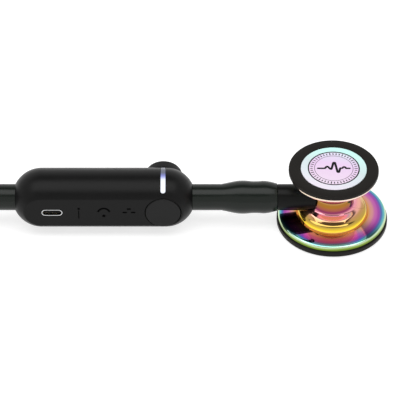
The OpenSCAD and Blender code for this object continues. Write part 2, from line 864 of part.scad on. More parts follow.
// Points of a bend that starts at a point and a heading, measured from local z towards y
function bend_points(start, heading, bend_r, turn, n) = [
    for (i = [1 : n]) let (h = heading + turn * i / n)
        start + bend_r * [0, cos(heading) - cos(h), sin(h) - sin(heading)]
];

// Centre line of an ear tube, from its end in the rubber arm to the ear tip
function ear_path() = let (
    first_turn = arm_angle + ear_turn_in,
    second_turn = ear_tip_angle - ear_turn_in,
    straight_l = ear_insert_l + ear_straight_l,
    long_bend = bend_points([0, 0, straight_l], 0, ear_long_bend_r, first_turn, 8),
    short_bend = bend_points(long_bend[7], first_turn, ear_short_bend_r, second_turn, 8),
    heading = first_turn + second_turn
) concat(
    [[0, 0, 0], [0, 0, straight_l - 1]], long_bend, short_bend,
    [short_bend[7] + ear_end_l * [0, sin(heading), cos(heading)]]
);

module bend_end(bend_r, turn, side) {
    translate([0, side * bend_r, 0]) rotate([-side * turn, 0, 0]) translate([0, -side * bend_r, 0])
        children();
}

module ear_tube(side) {
    path = [for (p = ear_path()) [p[0], side * p[1], p[2]]];
    color("#1d1d1f") at_flex(side) translate([0, 0, arm_l - ear_insert_l])
        swept_pipe(path, ear_tube_r, ear_tube_r - ear_tube_t, 16, [1, 0, 0]);
}

module ear_tip(side) {
    color("#2b2b2d") at_flex(side) translate([0, 0, arm_l + ear_straight_l])
        bend_end(ear_long_bend_r, arm_angle + ear_turn_in, side)
        bend_end(ear_short_bend_r, ear_tip_angle - ear_turn_in, side)
        translate([0, 0, ear_end_l - tip_sleeve_l]) rotate_extrude() polygon(concat(
            [[ear_tube_r, 0], [ear_tube_r + 0.9, 0], [ear_tube_r + 0.9, 4.5]],
            arc(1.5, 8.5, tip_r - 1.5, 2.6, -60, 0, 5),
            arc(1.5, 8.5, tip_r - 1.5, 8.5, 8, 80, 10),
            [[arm_bore_r - 0.6, 17], [arm_bore_r - 0.6, tip_sleeve_l], [ear_tube_r, tip_sleeve_l]]
        ));
}

module left_arm() { arm(1); }
module right_arm() { arm(-1); }
module left_ear_tube() { ear_tube(1); }
module right_ear_tube() { ear_tube(-1); }
module left_ear_tip() { ear_tip(1); }
module right_ear_tip() { ear_tip(-1); }

chest_body();
large_rim();
large_diaphragm();
small_rim();
small_diaphragm();
hub_plug();
detent_ball();
detent_spring();
detent_screw();
stem();
stem_seal();
stem_clip();
chest_tube();
main_tube();
module_top_shell();
module_bottom_cover();
cover_gasket();
cover_screws();
main_board();
board_chips();
battery();
microphone();
speaker();
mic_nozzle();
speaker_nozzle();
usb_shell();
usb_tongue();
front_button();
button_switch();
rear_knob();
encoder_shaft();
volume_encoder();
light_guide();
status_light();
symbol_inserts();
y_hub();
leaf_spring();
left_arm();
right_arm();
left_ear_tube();
right_ear_tube();
left_ear_tip();
right_ear_tip();
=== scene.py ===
"""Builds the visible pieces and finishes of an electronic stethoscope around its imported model.

Lengths in the building functions are millimetres; make_piece turns them into metres.
"""

import math

import bmesh
import bpy
from mathutils import Matrix, Vector


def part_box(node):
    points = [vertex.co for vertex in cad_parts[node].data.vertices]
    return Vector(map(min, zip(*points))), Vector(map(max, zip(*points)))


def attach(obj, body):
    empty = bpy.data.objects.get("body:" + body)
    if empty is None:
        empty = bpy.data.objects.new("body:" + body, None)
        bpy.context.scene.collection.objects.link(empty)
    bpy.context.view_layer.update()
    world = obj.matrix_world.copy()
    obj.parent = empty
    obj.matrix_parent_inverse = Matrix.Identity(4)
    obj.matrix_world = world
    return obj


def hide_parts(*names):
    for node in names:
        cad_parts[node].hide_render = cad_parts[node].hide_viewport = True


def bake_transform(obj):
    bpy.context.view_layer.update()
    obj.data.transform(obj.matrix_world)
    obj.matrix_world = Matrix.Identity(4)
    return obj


bl_info = {
    "name": "Electronic stethoscope",
    "version": (1, 0, 0),
    "blender": (4, 5, 0),
    "location": "View3D > Sidebar > Stethoscope",
    "description": "Chestpiece, amplifier module, tubing and headset with their finishes",
    "category": "Object",
}

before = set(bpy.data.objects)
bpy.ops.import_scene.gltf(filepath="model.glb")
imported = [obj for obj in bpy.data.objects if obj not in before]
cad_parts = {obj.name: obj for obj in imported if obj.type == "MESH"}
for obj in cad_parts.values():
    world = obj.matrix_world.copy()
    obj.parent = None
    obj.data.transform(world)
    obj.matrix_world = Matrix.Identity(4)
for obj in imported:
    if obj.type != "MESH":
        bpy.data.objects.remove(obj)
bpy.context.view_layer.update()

MM = 0.001
Z_AXIS = Vector((0, 0, 1))
Y_AXIS = Vector((0, 1, 0))


def box(node):
    """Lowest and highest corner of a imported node, in millimetres."""
    low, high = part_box(node)
    return low / MM, high / MM


def middle(node):
    low, high = box(node)
    return (low + high) / 2


STEM_LOW, STEM_HIGH = box("stem")
SHELL_LOW, SHELL_HIGH = box("module_top_shell")
AXIS_Z = middle("stem").z
HUB_Z = middle("y_hub").z
MODULE_X = middle("module_top_shell").x
CONTROL_X = middle("front_button").x
LIP = 5.05  # width of the small rim's flat face
SEAT_DEPTH = 1.7  # how far inside the waist the chest tube ends
FLEX = (-432.0, 6.5)  # where each arm bends: x, and distance from the middle line
SIDES = {1: "left", -1: "right"}


# ---- settings ----

def length(name, description, default):
    return bpy.props.FloatProperty(name=name, description=description, default=default * MM,
                                   min=0.0, unit="LENGTH", precision=5)


def angle(name, description, default):
    return bpy.props.FloatProperty(name=name, description=description,
                                   default=math.radians(default), subtype="ANGLE")


def colour(name, description, default):
    return bpy.props.FloatVectorProperty(name=name, description=description, default=default,
                                         size=3, min=0.0, max=1.0, subtype="COLOR")


class ChestpieceSettings(bpy.types.PropertyGroup):
    """Sizes and colours of the chestpiece."""

    waist_radius: length("Waist radius", "Radius of the hub at its narrowest", 8.7)
    flare_width: length("Flare width", "From the waist out to the shoulder's top", 4.3)
    shoulder_radius: length("Shoulder radius", "Radius of the step under the flare", 15.3)
    flange_edge: length("Flange edge", "Height of the flange's outer edge", 2.4)
    edge_round: length("Edge rounding", "Rounding of the flange's outer edge", 1.7)
    skirt: length("Rim skirt", "Height of the small rim's skirt around the cup", 1.3)
    ring_radius: length("Printed ring", "Radius of the small diaphragm's dark ring", 10.8)
    rim_colour: colour("Rim", "Warm black of both rims", (0.0085, 0.0072, 0.0058))
    print_colour: colour("Print", "Ink of the rings and marks", (0.003, 0.003, 0.005))


class ModuleSettings(bpy.types.PropertyGroup):
    """Sizes and colours of the amplifier module."""

    wall: length("Wall", "Wall of the two shells", 1.6)
    edge_round: length("Edge rounding", "Softness of the edges of the flats", 0.2)
    shell_colour: colour("Shell", "Matte black of the shells", (0.0026, 0.0026, 0.0026))
    button_colour: colour("Button", "Slightly lighter black of the button", (0.012, 0.012, 0.012))
    light_colour: colour("Light", "Colour of the lit status bar", (0.90, 0.93, 1.0))


class TubingSettings(bpy.types.PropertyGroup):
    """Sizes and colours of the tubing and headset."""

    arm_radius: length("Arm radius", "Outer radius of the rubber arms", 4.8)
    arm_length: length("Arm length", "Length of the rubber arms beyond the flex line", 90)
    arm_angle: angle("Arm angle", "Angle of each arm from the middle line", 18)
    tube_colour: colour("Tubing", "Dark green-black of the tubing", (0.0035, 0.0062, 0.0040))
    stem_colour: colour("Stem", "Satin black of the stem and ear tubes", (0.0040, 0.0042, 0.0038))


class StageSettings(bpy.types.PropertyGroup):
    """Camera and light."""

    elevation: angle("Camera elevation", "Height of the view above the floor", 40.6)
    distance: length("Camera distance", "From the camera to the point it looks at", 1192)
    lens: bpy.props.FloatProperty(name="Lens", description="Focal length", default=250.0,
                                  subtype="DISTANCE_CAMERA")
    target_x: length("Look at", "How far left of the chestpiece the camera looks", 56.9)
    floor_colour: colour("Floor", "Pale floor, which also glows a little", (0.5, 0.5, 0.5))


def settings(name):
    return getattr(bpy.context.scene, name)


# ---- outlines and meshes ----

def arc(centre, radii, start, end, steps):
    """Points of an elliptical arc; angles in degrees."""
    points = []
    for i in range(steps + 1):
        turn = math.radians(start + (end - start) * i / steps)
        points.append((centre[0] + radii[0] * math.cos(turn),
                       centre[1] + radii[1] * math.sin(turn)))
    return points


def rounded(corners, closed=False, steps=5):
    """An outline whose corners (x, y, radius) are rounded by arcs; (x, y) stays sharp."""
    count = len(corners)
    points = []
    for i, corner in enumerate(corners):
        here = Vector(corner[:2])
        inner = closed or 0 < i < count - 1
        if len(corner) < 3 or not inner:
            points.append(tuple(here))
            continue
        before = Vector(corners[i - 1][:2]) - here
        after = Vector(corners[(i + 1) % count][:2]) - here
        half = before.angle(after) / 2
        reach = min(corner[2] / math.tan(half), 0.49 * before.length, 0.49 * after.length)
        radius = reach * math.tan(half)
        halfway = (before.normalized() + after.normalized()).normalized()
        centre = here + halfway * radius / math.sin(half)
        start = here + before.normalized() * reach - centre
        end = here + after.normalized() * reach - centre
        turn = start.angle_signed(end)
        for k in range(steps + 1):
            spoke = start.copy()
            spoke.rotate(Matrix.Rotation(-turn * k / steps, 2))
            points.append(tuple(centre + spoke))
    return points


def smooth_path(points, steps):
    """A Catmull-Rom curve through the points."""
    points = [Vector(p) for p in points]
    ends = [2 * points[0] - points[1]] + points + [2 * points[-1] - points[-2]]
    curve = []
    for i in range(len(points) - 1):
        a, b, c, d = ends[i:i + 4]
        for k in range(steps):
            t = k / steps
            curve.append(0.5 * (2 * b + (c - a) * t + (2 * a - 5 * b + 4 * c - d) * t ** 2
                                + (3 * b - a - 3 * c + d) * t ** 3))
    return curve + [points[-1]]


def mix(a, b, share):
    return a + (b - a) * share


def ease(value, start, end):
    """0 before start, 1 after end, smooth between them."""
    share = min(max((value - start) / (end - start), 0.0), 1.0)
    return share * share * (3 - 2 * share)


def shade(mesh, sharp):
    """Smooth shading with sharp edges above an angle in degrees; closed shells face outwards."""
    build = bmesh.new()
    build.from_mesh(mesh)
    bmesh.ops.remove_doubles(build, verts=build.verts, dist=1e-7)
    bmesh.ops.dissolve_degenerate(build, edges=build.edges, dist=1e-8)
    bmesh.ops.recalc_face_normals(build, faces=build.faces)
    for face in build.faces:
        face.smooth = True
    for edge in build.edges:
        edge.smooth = edge.calc_face_angle(0.0) < math.radians(sharp)
    build.to_mesh(mesh)
    build.free()


def add_object(name, data):
    """A new object in the scene that holds a mesh, a lamp or a camera."""
    made = bpy.data.objects.new(name, data)
    bpy.context.scene.collection.objects.link(made)
    return made


def make_piece(name, points, faces, sharp=32):
    mesh = bpy.data.meshes.new(name)
    mesh.from_pydata([Vector(p) * MM for p in points], [], faces)
    shade(mesh, sharp)
    return add_object(name, mesh)


def loft_faces(rows, count, joined, first=0):
    """Quads between rows of count points; joined closes the last row onto the first."""
    faces = []
    for i in range(rows if joined else rows - 1):
        a = first + i * count
        b = first + (i + 1) % rows * count
        for k in range(count):
            n = (k + 1) % count
            faces.append((a + k, a + n, b + n, b + k))
    if not joined:
        faces.append(tuple(range(first + count - 1, first - 1, -1)))
        faces.append(tuple(range(first + (rows - 1) * count, first + rows * count)))
    return faces


def loft(name, rows, joined=False, sharp=32):
    points = [point for row in rows for point in row]
    return make_piece(name, points, loft_faces(len(rows), len(rows[0]), joined), sharp)


def upright(x=0.0, y=0.0):
    return lambda u, v, w: Vector((x + u, y + v, w))


def along_x(u, v, w):
    return Vector((w, u, AXIS_Z + v))


def along_y(x):
    return lambda u, v, w: Vector((x + u, w, AXIS_Z + v))


def lathe(name, profile, place=upright(), joined=False, segments=128, sharp=32):
    """Turns a profile of (radius, height) about an axis; joined makes it a ring."""
    rows = []
    for radius, height in profile:
        ring = []
        for k in range(segments):
            turn = math.tau * k / segments
            ring.append(place(radius * math.cos(turn), radius * math.sin(turn), height))
        rows.append(ring)
    return loft(name, rows, joined, sharp)


def sweep_rows(path, radius, sides, up=Z_AXIS, flat=1.0, round_ends=False):
    """Rings along a path; flat squeezes them along up."""
    path = [Vector(p) for p in path]
    stations = []
    for i, point in enumerate(path):
        forward = (path[min(i + 1, len(path) - 1)] - path[max(i - 1, 0)]).normalized()
        stations.append((point, forward, radius))
    if round_ends:
        first, ahead, _ = stations[0]
        last, onward, _ = stations[-1]
        for turn in (25, 50, 75):
            reach = radius * math.sin(math.radians(turn))
            size = radius * math.cos(math.radians(turn))
            stations.insert(0, (first - ahead * reach, ahead, size))
            stations.append((last + onward * reach, onward, size))
    rows = []
    for point, forward, r in stations:
        side = up.cross(forward).normalized()
        top = forward.cross(side)
        rows.append([point + side * r * math.cos(math.tau * k / sides)
                     + top * r * flat * math.sin(math.tau * k / sides) for k in range(sides)])
    return rows


def make_lofts(name, lofts, sharp):
    """One mesh of several capped lofts."""
    points = []
    faces = []
    for rows in lofts:
        faces += loft_faces(len(rows), len(rows[0]), False, len(points))
        points += [point for row in rows for point in row]
    return make_piece(name, points, faces, sharp)


def strokes(name, marks, up, depth, sides=12):
    """One mesh of strokes (path, radius) with round ends, all as deep as depth along up."""
    lofts = [sweep_rows(path, radius, sides, up, depth / radius, round_ends=True)
             for path, radius in marks]
    return make_lofts(name, lofts, 40)


def block(low, high, c):
    """The four outlines of a box from its bottom to its top; c is the chamfer of its edges."""
    rows = []
    for z, inset in ((low[2], c), (low[2] + c, 0), (high[2] - c, 0), (high[2], c)):
        x0, x1 = low[0] + inset, high[0] - inset
        y0, y1 = low[1] + inset, high[1] - inset
        rows.append([Vector(p) for p in (
            (x0 + c, y0, z), (x1 - c, y0, z), (x1, y0 + c, z), (x1, y1 - c, z),
            (x1 - c, y1, z), (x0 + c, y1, z), (x0, y1 - c, z), (x0, y0 + c, z))])
    return rows


def blocks(name, boxes, bevel):
    return make_lofts(name, [block(low, high, bevel) for low, high in boxes], 30)


def apply_boolean(piece, other, operation="DIFFERENCE"):
    """Cuts a piece with another one, or trims it to what both share, and uses the other up."""
    change = piece.modifiers.new("change", "BOOLEAN")
    change.operation = operation
    change.solver = "EXACT"
    change.object = other
    evaluated = piece.evaluated_get(bpy.context.evaluated_depsgraph_get())
    mesh = bpy.data.meshes.new_from_object(evaluated)
    piece.modifiers.clear()
    piece.data = mesh
    bpy.data.objects.remove(other)
    if not mesh.polygons:
        raise RuntimeError(piece.name + " was cut away")


def cut(piece, *cutters, sharp=32):
    for cutter in cutters:
        apply_boolean(piece, cutter)
    shade(piece.data, sharp)


def rod(radius, start, end, place, segments=64):
    return lathe("rod", [(radius, start), (radius, end)], place, segments=segments)


def stadium(width, height, y, x):
    """A slot outline with round ends in the plane of the front flat."""
    r = height / 2
    reach = width / 2 - r
    right = arc((x + reach, AXIS_Z), (r, r), -90, 90, 10)
    left = arc((x - reach, AXIS_Z), (r, r), 90, 270, 10)
    return [Vector((u, y, v)) for u, v in right + left]


def fit(piece, look, slot, body, *nodes):
    """Gives a piece its finish, and makes it ride on a body in place of nodes; slot is not used."""
    piece.data.materials.clear()
    piece.data.materials.append(finish(look))
    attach(piece, body)
    if nodes:
        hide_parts(*nodes)


# ---- shader nodes ----

class Value:
    """A node's output; arithmetic on it adds Math nodes."""

    def __init__(self, finish, output):
        self.finish = finish
        self.output = output

    def __add__(self, other):
        return self.finish.maths("ADD", self, other)

    def __sub__(self, other):
        return self.finish.maths("SUBTRACT", self, other)

    def __rsub__(self, other):
        return self.finish.maths("SUBTRACT", other, self)

    def __mul__(self, other):
        return self.finish.maths("MULTIPLY", self, other)

    __radd__ = __add__
    __rmul__ = __mul__


class Finish:
    """A material built from nodes."""

    def __init__(self, name, **uniform):
        self.material = bpy.data.materials.new(name)
        self.material.use_nodes = True
        self.tree = self.material.node_tree
        self.tree.nodes.clear()
        shader = self.tree.nodes.new("ShaderNodeBsdfPrincipled")
        output = self.tree.nodes.new("ShaderNodeOutputMaterial")
        self.tree.links.new(shader.outputs[0], output.inputs[0])
        self.inputs = shader.inputs
        for key, value in uniform.items():
            self.inputs[key.replace("_", " ").title().replace("Ior", "IOR")].default_value = value

    def node(self, kind, options=None, links=None, output=0):
        """Adds a node: options first, then the values or links of its sockets."""
        made = self.tree.nodes.new("ShaderNode" + kind)
        for key, value in (options or {}).items():
            if key == "stops":
                self.set_stops(made.color_ramp.elements, value)
            elif key == "ramp_mode":
                made.color_ramp.interpolation = value
            else:
                setattr(made, key, value)
        for key, value in (links or {}).items():
            self.feed(made.inputs[key], value)
        return Value(self, made.outputs[output])

    def set_stops(self, elements, stops):
        while len(elements) < len(stops):
            elements.new(1.0)
        for element, (place, shade_of) in zip(elements, stops):
            element.position = place
            element.color = (*shade_of, 1.0)

    def feed(self, socket, value):
        if isinstance(value, Value):
            self.tree.links.new(value.output, socket)
        elif isinstance(value, (tuple, list)) and socket.type == "RGBA" and len(value) == 3:
            socket.default_value = (*value, 1.0)
        else:
            socket.default_value = value

    def set(self, **values):
        """Feeds the shader's own sockets."""
        for key, value in values.items():
            self.feed(self.inputs[key.replace("_", " ").title()], value)

    def maths(self, operation, *values):
        return self.node("Math", {"operation": operation}, dict(enumerate(values)))

    def blend(self, share, a, b, kind="MIX"):
        options = {"data_type": "RGBA", "blend_type": kind, "clamp_factor": True}
        return self.node("Mix", options, {0: share, 6: a, 7: b}, output=2)

    def place(self):
        return self.node("TexCoord", output=3)

    def split(self, vector):
        parts = self.tree.nodes.new("ShaderNodeSeparateXYZ")
        self.feed(parts.inputs[0], vector)
        return [Value(self, out) * (1 / MM) for out in parts.outputs]

    def noise(self, cell, detail=2.0, vector=None):
        """Noise whose features are about cell millimetres across."""
        links = {"Vector": vector or self.place(), "Scale": 1 / (cell * MM), "Detail": detail}
        return self.node("TexNoise", None, links)

    def ramp(self, factor, *stops, mode="LINEAR"):
        return self.node("ValToRGB", {"ramp_mode": mode, "stops": stops}, {0: factor})

    def step(self, value, start, end):
        """0 before start and 1 after end."""
        links = {0: value, 1: start, 2: end, 3: 0.0, 4: 1.0}
        return self.node("MapRange", {"interpolation_type": "SMOOTHSTEP"}, links)

    def bump(self, height, depth):
        """depth is the height of the relief in millimetres."""
        return self.node("Bump", None, {"Distance": depth * MM, "Height": height})


MADE = {}


def finish(name):
    """The material of that name, made when it is first asked for."""
    if name not in MADE:
        MADE[name] = FINISHES[name]()
    return MADE[name]


def grey(value):
    return (value, value, value)


def speckled(name, base, rough, grain, relief, tint=1.35, specular_ior_level=0.12, **uniform):
    """A moulded or coated surface: fine grain, slow changes of shade and of gloss."""
    made = Finish(name, specular_ior_level=specular_ior_level, **uniform)
    slow = made.noise(9, 3)
    fine = made.noise(grain, 3)
    lighter = tuple(min(part * tint, 1.0) for part in base)
    darker = tuple(part / tint for part in base)
    made.set(base_color=made.blend(slow * 0.6 + fine * 0.4, darker, lighter),
             roughness=slow * 0.10 + fine * 0.08 + (rough - 0.09),
             normal=made.bump(fine, relief))
    return made.material


def rainbow_coating():
    """Colours run in bands down the flare, coating hues with painted reflections and highlights:
    fall is how far a point lies down and out, as the camera sees it.
    """
    made = Finish("rainbow_coating", metallic=1.0)
    x, y, z = made.split(made.place())
    drift = made.noise(24, 2) - 0.5
    radius = made.maths("SQRT", x * x + y * y)
    # 0.6626 and 0.749 are the sine and cosine of 41.5 degrees, about the camera's elevation, so the
    # painted reflections and highlights sit where that view puts them
    fall = radius * 0.6626 - z * 0.749 + drift * 0.9 + 9.0
    span = 24
    lower = made.ramp(fall * (1 / span), *stops(LOWER_COATING_AND_REFLECTIONS, span), mode="EASE")
    upper = made.ramp((radius + drift * 1.4) * (1 / span), *stops(UPPER_COATING), mode="EASE")
    above = made.step(z, AXIS_Z + 2.0, AXIS_Z + 5.0)
    made.set(base_color=made.blend(above, lower, upper),
             roughness=made.noise(2.5, 3) * 0.05 + 0.03,
             normal=made.bump(made.noise(0.9, 2), 0.0006))
    return made.material


def srgb(*parts):
    """Linear colour from 0-255 display values."""
    return tuple((part / 255 / 12.92) if part < 11 else ((part / 255 + 0.055) / 1.055) ** 2.4
                 for part in parts)


def stops(table, span=1.0):
    """Ramp stops from rows of a place and the three parts of a display colour."""
    return [(place / span, srgb(*parts)) for place, *parts in table]


# Place down the flare and display colour: coating hues mixed with painted light, a glint at 0.6, a
# dark groove reflection at 5.8, a bright yellow highlight at 13.6 and a pale edge highlight at 20.6
LOWER_COATING_AND_REFLECTIONS = (
    (0.6, 236, 206, 172), (1.8, 156, 108, 50), (3.4, 158, 106, 40), (4.6, 156, 88, 68),
    (5.8, 132, 48, 88), (6.8, 240, 158, 172), (8.6, 244, 176, 160), (10.2, 196, 150, 96),
    (12.0, 192, 160, 76), (13.6, 255, 214, 62), (14.8, 214, 156, 84), (16.0, 214, 148, 146),
    (17.3, 196, 104, 174), (18.4, 164, 78, 170), (19.1, 92, 112, 180), (19.8, 104, 186, 194),
    (20.6, 212, 236, 196), (21.4, 122, 146, 54), (22.3, 60, 76, 34),
)
UPPER_COATING = (
    (0.34, 222, 178, 112), (0.40, 236, 200, 150), (0.47, 240, 188, 172), (0.54, 232, 180, 206),
    (0.61, 190, 196, 226), (0.68, 196, 228, 216), (0.75, 236, 230, 180), (0.80, 246, 214, 208),
)


def pearl_film(name="pearl_film", printed=True):
    made = Finish(name, metallic=0.0, coat_roughness=0.04, ior=1.5, specular_ior_level=0.35)
    x, y, _ = made.split(made.place())
    drift = made.noise(7, 3) - 0.5
    across = (y + 0.35 * x + drift * 9) * (1 / 28) + 0.5
    radius = made.maths("SQRT", x * x + y * y)
    outer = made.ramp(across, *stops(OUTER_FILM))
    inner = made.ramp(across, *stops(INNER_FILM))
    ring = settings("chestpiece").ring_radius / MM
    film = made.blend(made.step(radius, ring - 0.2, ring), inner, outer) if printed else outer
    made.set(base_color=film,
             roughness=made.noise(3, 2) * 0.08 + 0.16,
             coat_weight=made.noise(12, 1) * 0.3 + 0.5,
             normal=made.bump(made.noise(0.5, 2), 0.002))
    return made.material


OUTER_FILM = (
    (0.0, 228, 220, 233), (0.3, 213, 220, 227), (0.5, 199, 217, 219), (0.75, 196, 232, 228),
    (1.0, 190, 238, 232),
)
INNER_FILM = (
    (0.0, 228, 213, 229), (0.35, 224, 200, 226), (0.6, 222, 194, 228), (0.8, 215, 204, 228),
    (1.0, 213, 226, 235),
)


def light_plastic():
    made = Finish("light_plastic", emission_strength=1.0, roughness=0.2)
    y = made.split(made.place())[1]
    # Emission from the front of the bar to the back: white where its lights are lit, then lavender;
    # the grey over the unlit back part and the lighter line at its far end are painted light,
    # emitted in place of studio light and a painted highlight
    glow_and_painted_light = made.ramp((y + 9) * (1 / 18), (0.0, (1.0, 1.0, 1.0)), (0.34, (0.95, 0.96, 1.0)),
                     (0.41, srgb(176, 180, 232)), (0.47, srgb(120, 124, 190)),
                     (0.56, srgb(74, 78, 96)), (0.8, srgb(56, 58, 66)), (1.0, srgb(90, 92, 100)))
    tint = settings("module").light_colour
    made.set(emission_color=made.blend(1.0, glow_and_painted_light, tuple(tint), "MULTIPLY"),
             base_color=made.blend(made.noise(0.8), srgb(52, 54, 62), srgb(66, 68, 78)),
             normal=made.bump(made.noise(0.4), 0.003))
    return made.material


def solder_mask():
    made = Finish("solder_mask", roughness=0.3, coat_weight=0.4)
    x, y, _ = made.split(made.place())
    lines = made.maths("PINGPONG", x * 0.9 + made.noise(5, 1) * 3, 1.0)
    rows = made.maths("PINGPONG", y * 1.1, 1.0)
    trace = made.step(lines, 0.70, 0.78) * made.step(rows, 0.2, 0.3)
    made.set(base_color=made.blend(trace, (0.006, 0.07, 0.025), (0.02, 0.16, 0.06)),
             normal=made.bump(trace, 0.03))
    return made.material


def brushed(name, base, rough, stretch=(1, 1, 14), **uniform):
    """Drawn or turned metal with fine marks across the stretch."""
    made = Finish(name, metallic=1.0, **uniform)
    squeezed = made.node("VectorMath", {"operation": "MULTIPLY"}, {0: made.place(), 1: stretch})
    marks = made.noise(1.2, 3, squeezed)
    dark = tuple(part * 0.8 for part in base)
    made.set(base_color=made.blend(marks, dark, base), roughness=marks * 0.12 + rough,
             normal=made.bump(marks, 0.002))
    return made.material


def floor_finish():
    made = Finish("floor", specular_ior_level=0.1, emission_strength=0.68,
                  emission_color=(1.0, 1.0, 1.0, 1.0))
    base = tuple(settings("stage").floor_colour)
    darker = tuple(part * 0.985 for part in base)
    made.set(base_color=made.blend(made.noise(180, 3), darker, base),
             roughness=made.noise(40, 2) * 0.1 + 0.6)
    return made.material


FINISHES = {
    "rainbow": rainbow_coating,
    "film": pearl_film,
    "plain film": lambda: pearl_film("plain_film", False),
    "light": light_plastic,
    "board": solder_mask,
    "floor": floor_finish,
    "rim": lambda: speckled("rim_rubber", settings("chestpiece").rim_colour, 0.42, 0.35, 0.006),
    "ink": lambda: speckled("print_ink", settings("chestpiece").print_colour, 0.35, 0.3, 0.001),
    "tubing": lambda: speckled("tubing_rubber", settings("tubing").tube_colour, 0.24, 0.6, 0.003,
                               1.25, 0.26, sheen_weight=0.02),
    "stem": lambda: speckled("stem_coating", settings("tubing").stem_colour, 0.30, 0.25, 0.002),
    "shell": lambda: speckled("shell_plastic", settings("module").shell_colour, 0.36, 0.22, 0.004,
                              1.2, 0.15),
    "button": lambda: speckled("button_plastic", settings("module").button_colour, 0.45, 0.2,
                               0.004, 1.2),
    # Near black with almost no gloss: the inserts' dark plastic plus painted shade of the debossed
    # grooves
    "symbol": lambda: speckled("symbol_plastic", grey(0.0006), 0.5, 0.3, 0.002, 1.35, 0.02),
    "dark": lambda: speckled("inner_plastic", (0.010, 0.010, 0.010), 0.45, 0.3, 0.004),
    "tip": lambda: speckled("tip_silicone", (0.030, 0.030, 0.032), 0.5, 0.5, 0.004,
                            sheen_weight=0.15),
    "chip": lambda: speckled("chip_resin", (0.02, 0.02, 0.022), 0.5, 0.2, 0.006),
    "lamp": lambda: speckled("lamp_resin", (0.85, 0.80, 0.55), 0.3, 0.4, 0.002, 1.1),
    "steel": lambda: brushed("plain_steel", (0.60, 0.60, 0.61), 0.22),
    "port": lambda: brushed("port_steel", (0.86, 0.87, 0.88), 0.10, (1, 10, 1)),
    "gold": lambda: brushed("contact_gold", (0.90, 0.66, 0.30), 0.2),
    "foil": lambda: brushed("cell_foil", (0.62, 0.64, 0.67), 0.35, (1, 6, 1)),
}


# ---- chestpiece ----

STEM_BORE_R = 3.56
TUBE_SEAT_R = 5.975
PLUG_HOLE_R = 4.9
PLUG_R = 4.84
SCREW_HOLE_R = 1.08
SHOULDER = ((0.2, 0), (-0.05, 0.9), (-0.4, 1.8), (-1.0, 2.7))  # from its radius and height
FLARE = ((3.4, 1.3), (2.3, 1.8), (1.4, 2.2), (0.8, 2.7), (0.5, 3.3))  # from the waist's radius


def chest_body():
    """The rainbow body: flange, hub and cup in one turned piece, with its cross bores."""
    sizes = settings("chestpiece")
    waist = sizes.waist_radius / MM
    shoulder = sizes.shoulder_radius / MM
    flare = sizes.flare_width / MM
    edge = sizes.edge_round / MM
    high = box("chest_body")[1]
    rim_low, rim_high = box("large_rim")
    foot = rim_high.x - 1.6
    flange_r = high.x
    flange_z = rim_high.z
    flange_top = flange_z + sizes.flange_edge / MM
    shoulder_z = flange_top + 0.6
    flare_z = shoulder_z + 3.2
    waist_z = AXIS_Z - 0.3
    waist_top = waist_z + 3.4
    cup_top = high.z
    cup_r = box("small_rim")[1].x - 0.3
    cup_round = 1.9
    recess = cup_r - 2.3
    bed = cup_top - 1.0
    ledge = cup_top - sizes.skirt / MM
    under = ledge - 0.3 - cup_round
    profile = [(0.02, flange_z + 0.7), (2.6, flange_z + 0.6), (18.15, rim_low.z + 2.0)]
    profile += [(20.35, rim_low.z + 1.7), (20.35, rim_low.z + 0.95)]
    profile += [(foot, rim_low.z + 0.95), (foot, flange_z)]
    edge_points = rounded([(foot, flange_z), (flange_r, flange_z, 0.35),
                           (flange_r, flange_top - 0.12, edge), (shoulder, shoulder_z)], steps=8)
    profile += edge_points[1:-1]
    last = Vector(edge_points[-2])
    turned = [(shoulder + out, shoulder_z + up) for out, up in SHOULDER]
    turned += [(waist + flare + 0.55, flare_z + 0.1), (waist + flare, flare_z + 0.6)]
    turned += [(waist + out, flare_z + up) for out, up in FLARE]
    turned += [(waist + 0.3, waist_z), (waist + 0.05, waist_z + 1.6), (waist - 0.1, waist_top)]
    profile += [tuple(last.lerp(Vector(turned[0]), k / 10)) for k in range(1, 10)]
    profile += [tuple(point) for point in smooth_path(turned, 7)]
    profile += arc((cup_r - cup_round, waist_top),
                   (cup_r - cup_round - waist + 0.1, under - waist_top), 178, 93, 30)
    profile += arc((cup_r - cup_round, under + cup_round), (cup_round, cup_round), -86, 0, 12)
    profile += [(cup_r, ledge), (cup_r - 0.6, ledge), (cup_r - 0.6, cup_top)]
    profile += [(recess, cup_top), (recess, bed)]
    profile += [(recess - 1.4, bed), (2.6, bed - 3.0), (0.02, bed - 3.0)]
    piece = lathe("chest_body_coated", profile, segments=256, sharp=28)
    plug = lathe("hub_plug_flush", profile, segments=256, sharp=28)
    hub_face = waist - SEAT_DEPTH
    screw_place = along_y(middle("detent_screw").x)
    cut(piece,
        rod(TUBE_SEAT_R, -30, -hub_face, along_x, 128),
        rod(STEM_BORE_R, -waist - 1, 5.0, along_x),
        rod(PLUG_HOLE_R, 4.6, waist + 6, along_x, 96),
        rod(SCREW_HOLE_R, 0, waist + 1, screw_place, 48), sharp=28)
    fit(piece, "rainbow", "rainbow_metal", "chestpiece", "chest_body")
    plug_rod = rod(PLUG_R, box("hub_plug")[0].x, waist + 6, along_x, 96)
    apply_boolean(plug, plug_rod, "INTERSECT")
    shade(plug.data, 28)
    fit(plug, "rainbow", "rainbow_metal", "chestpiece", "hub_plug")


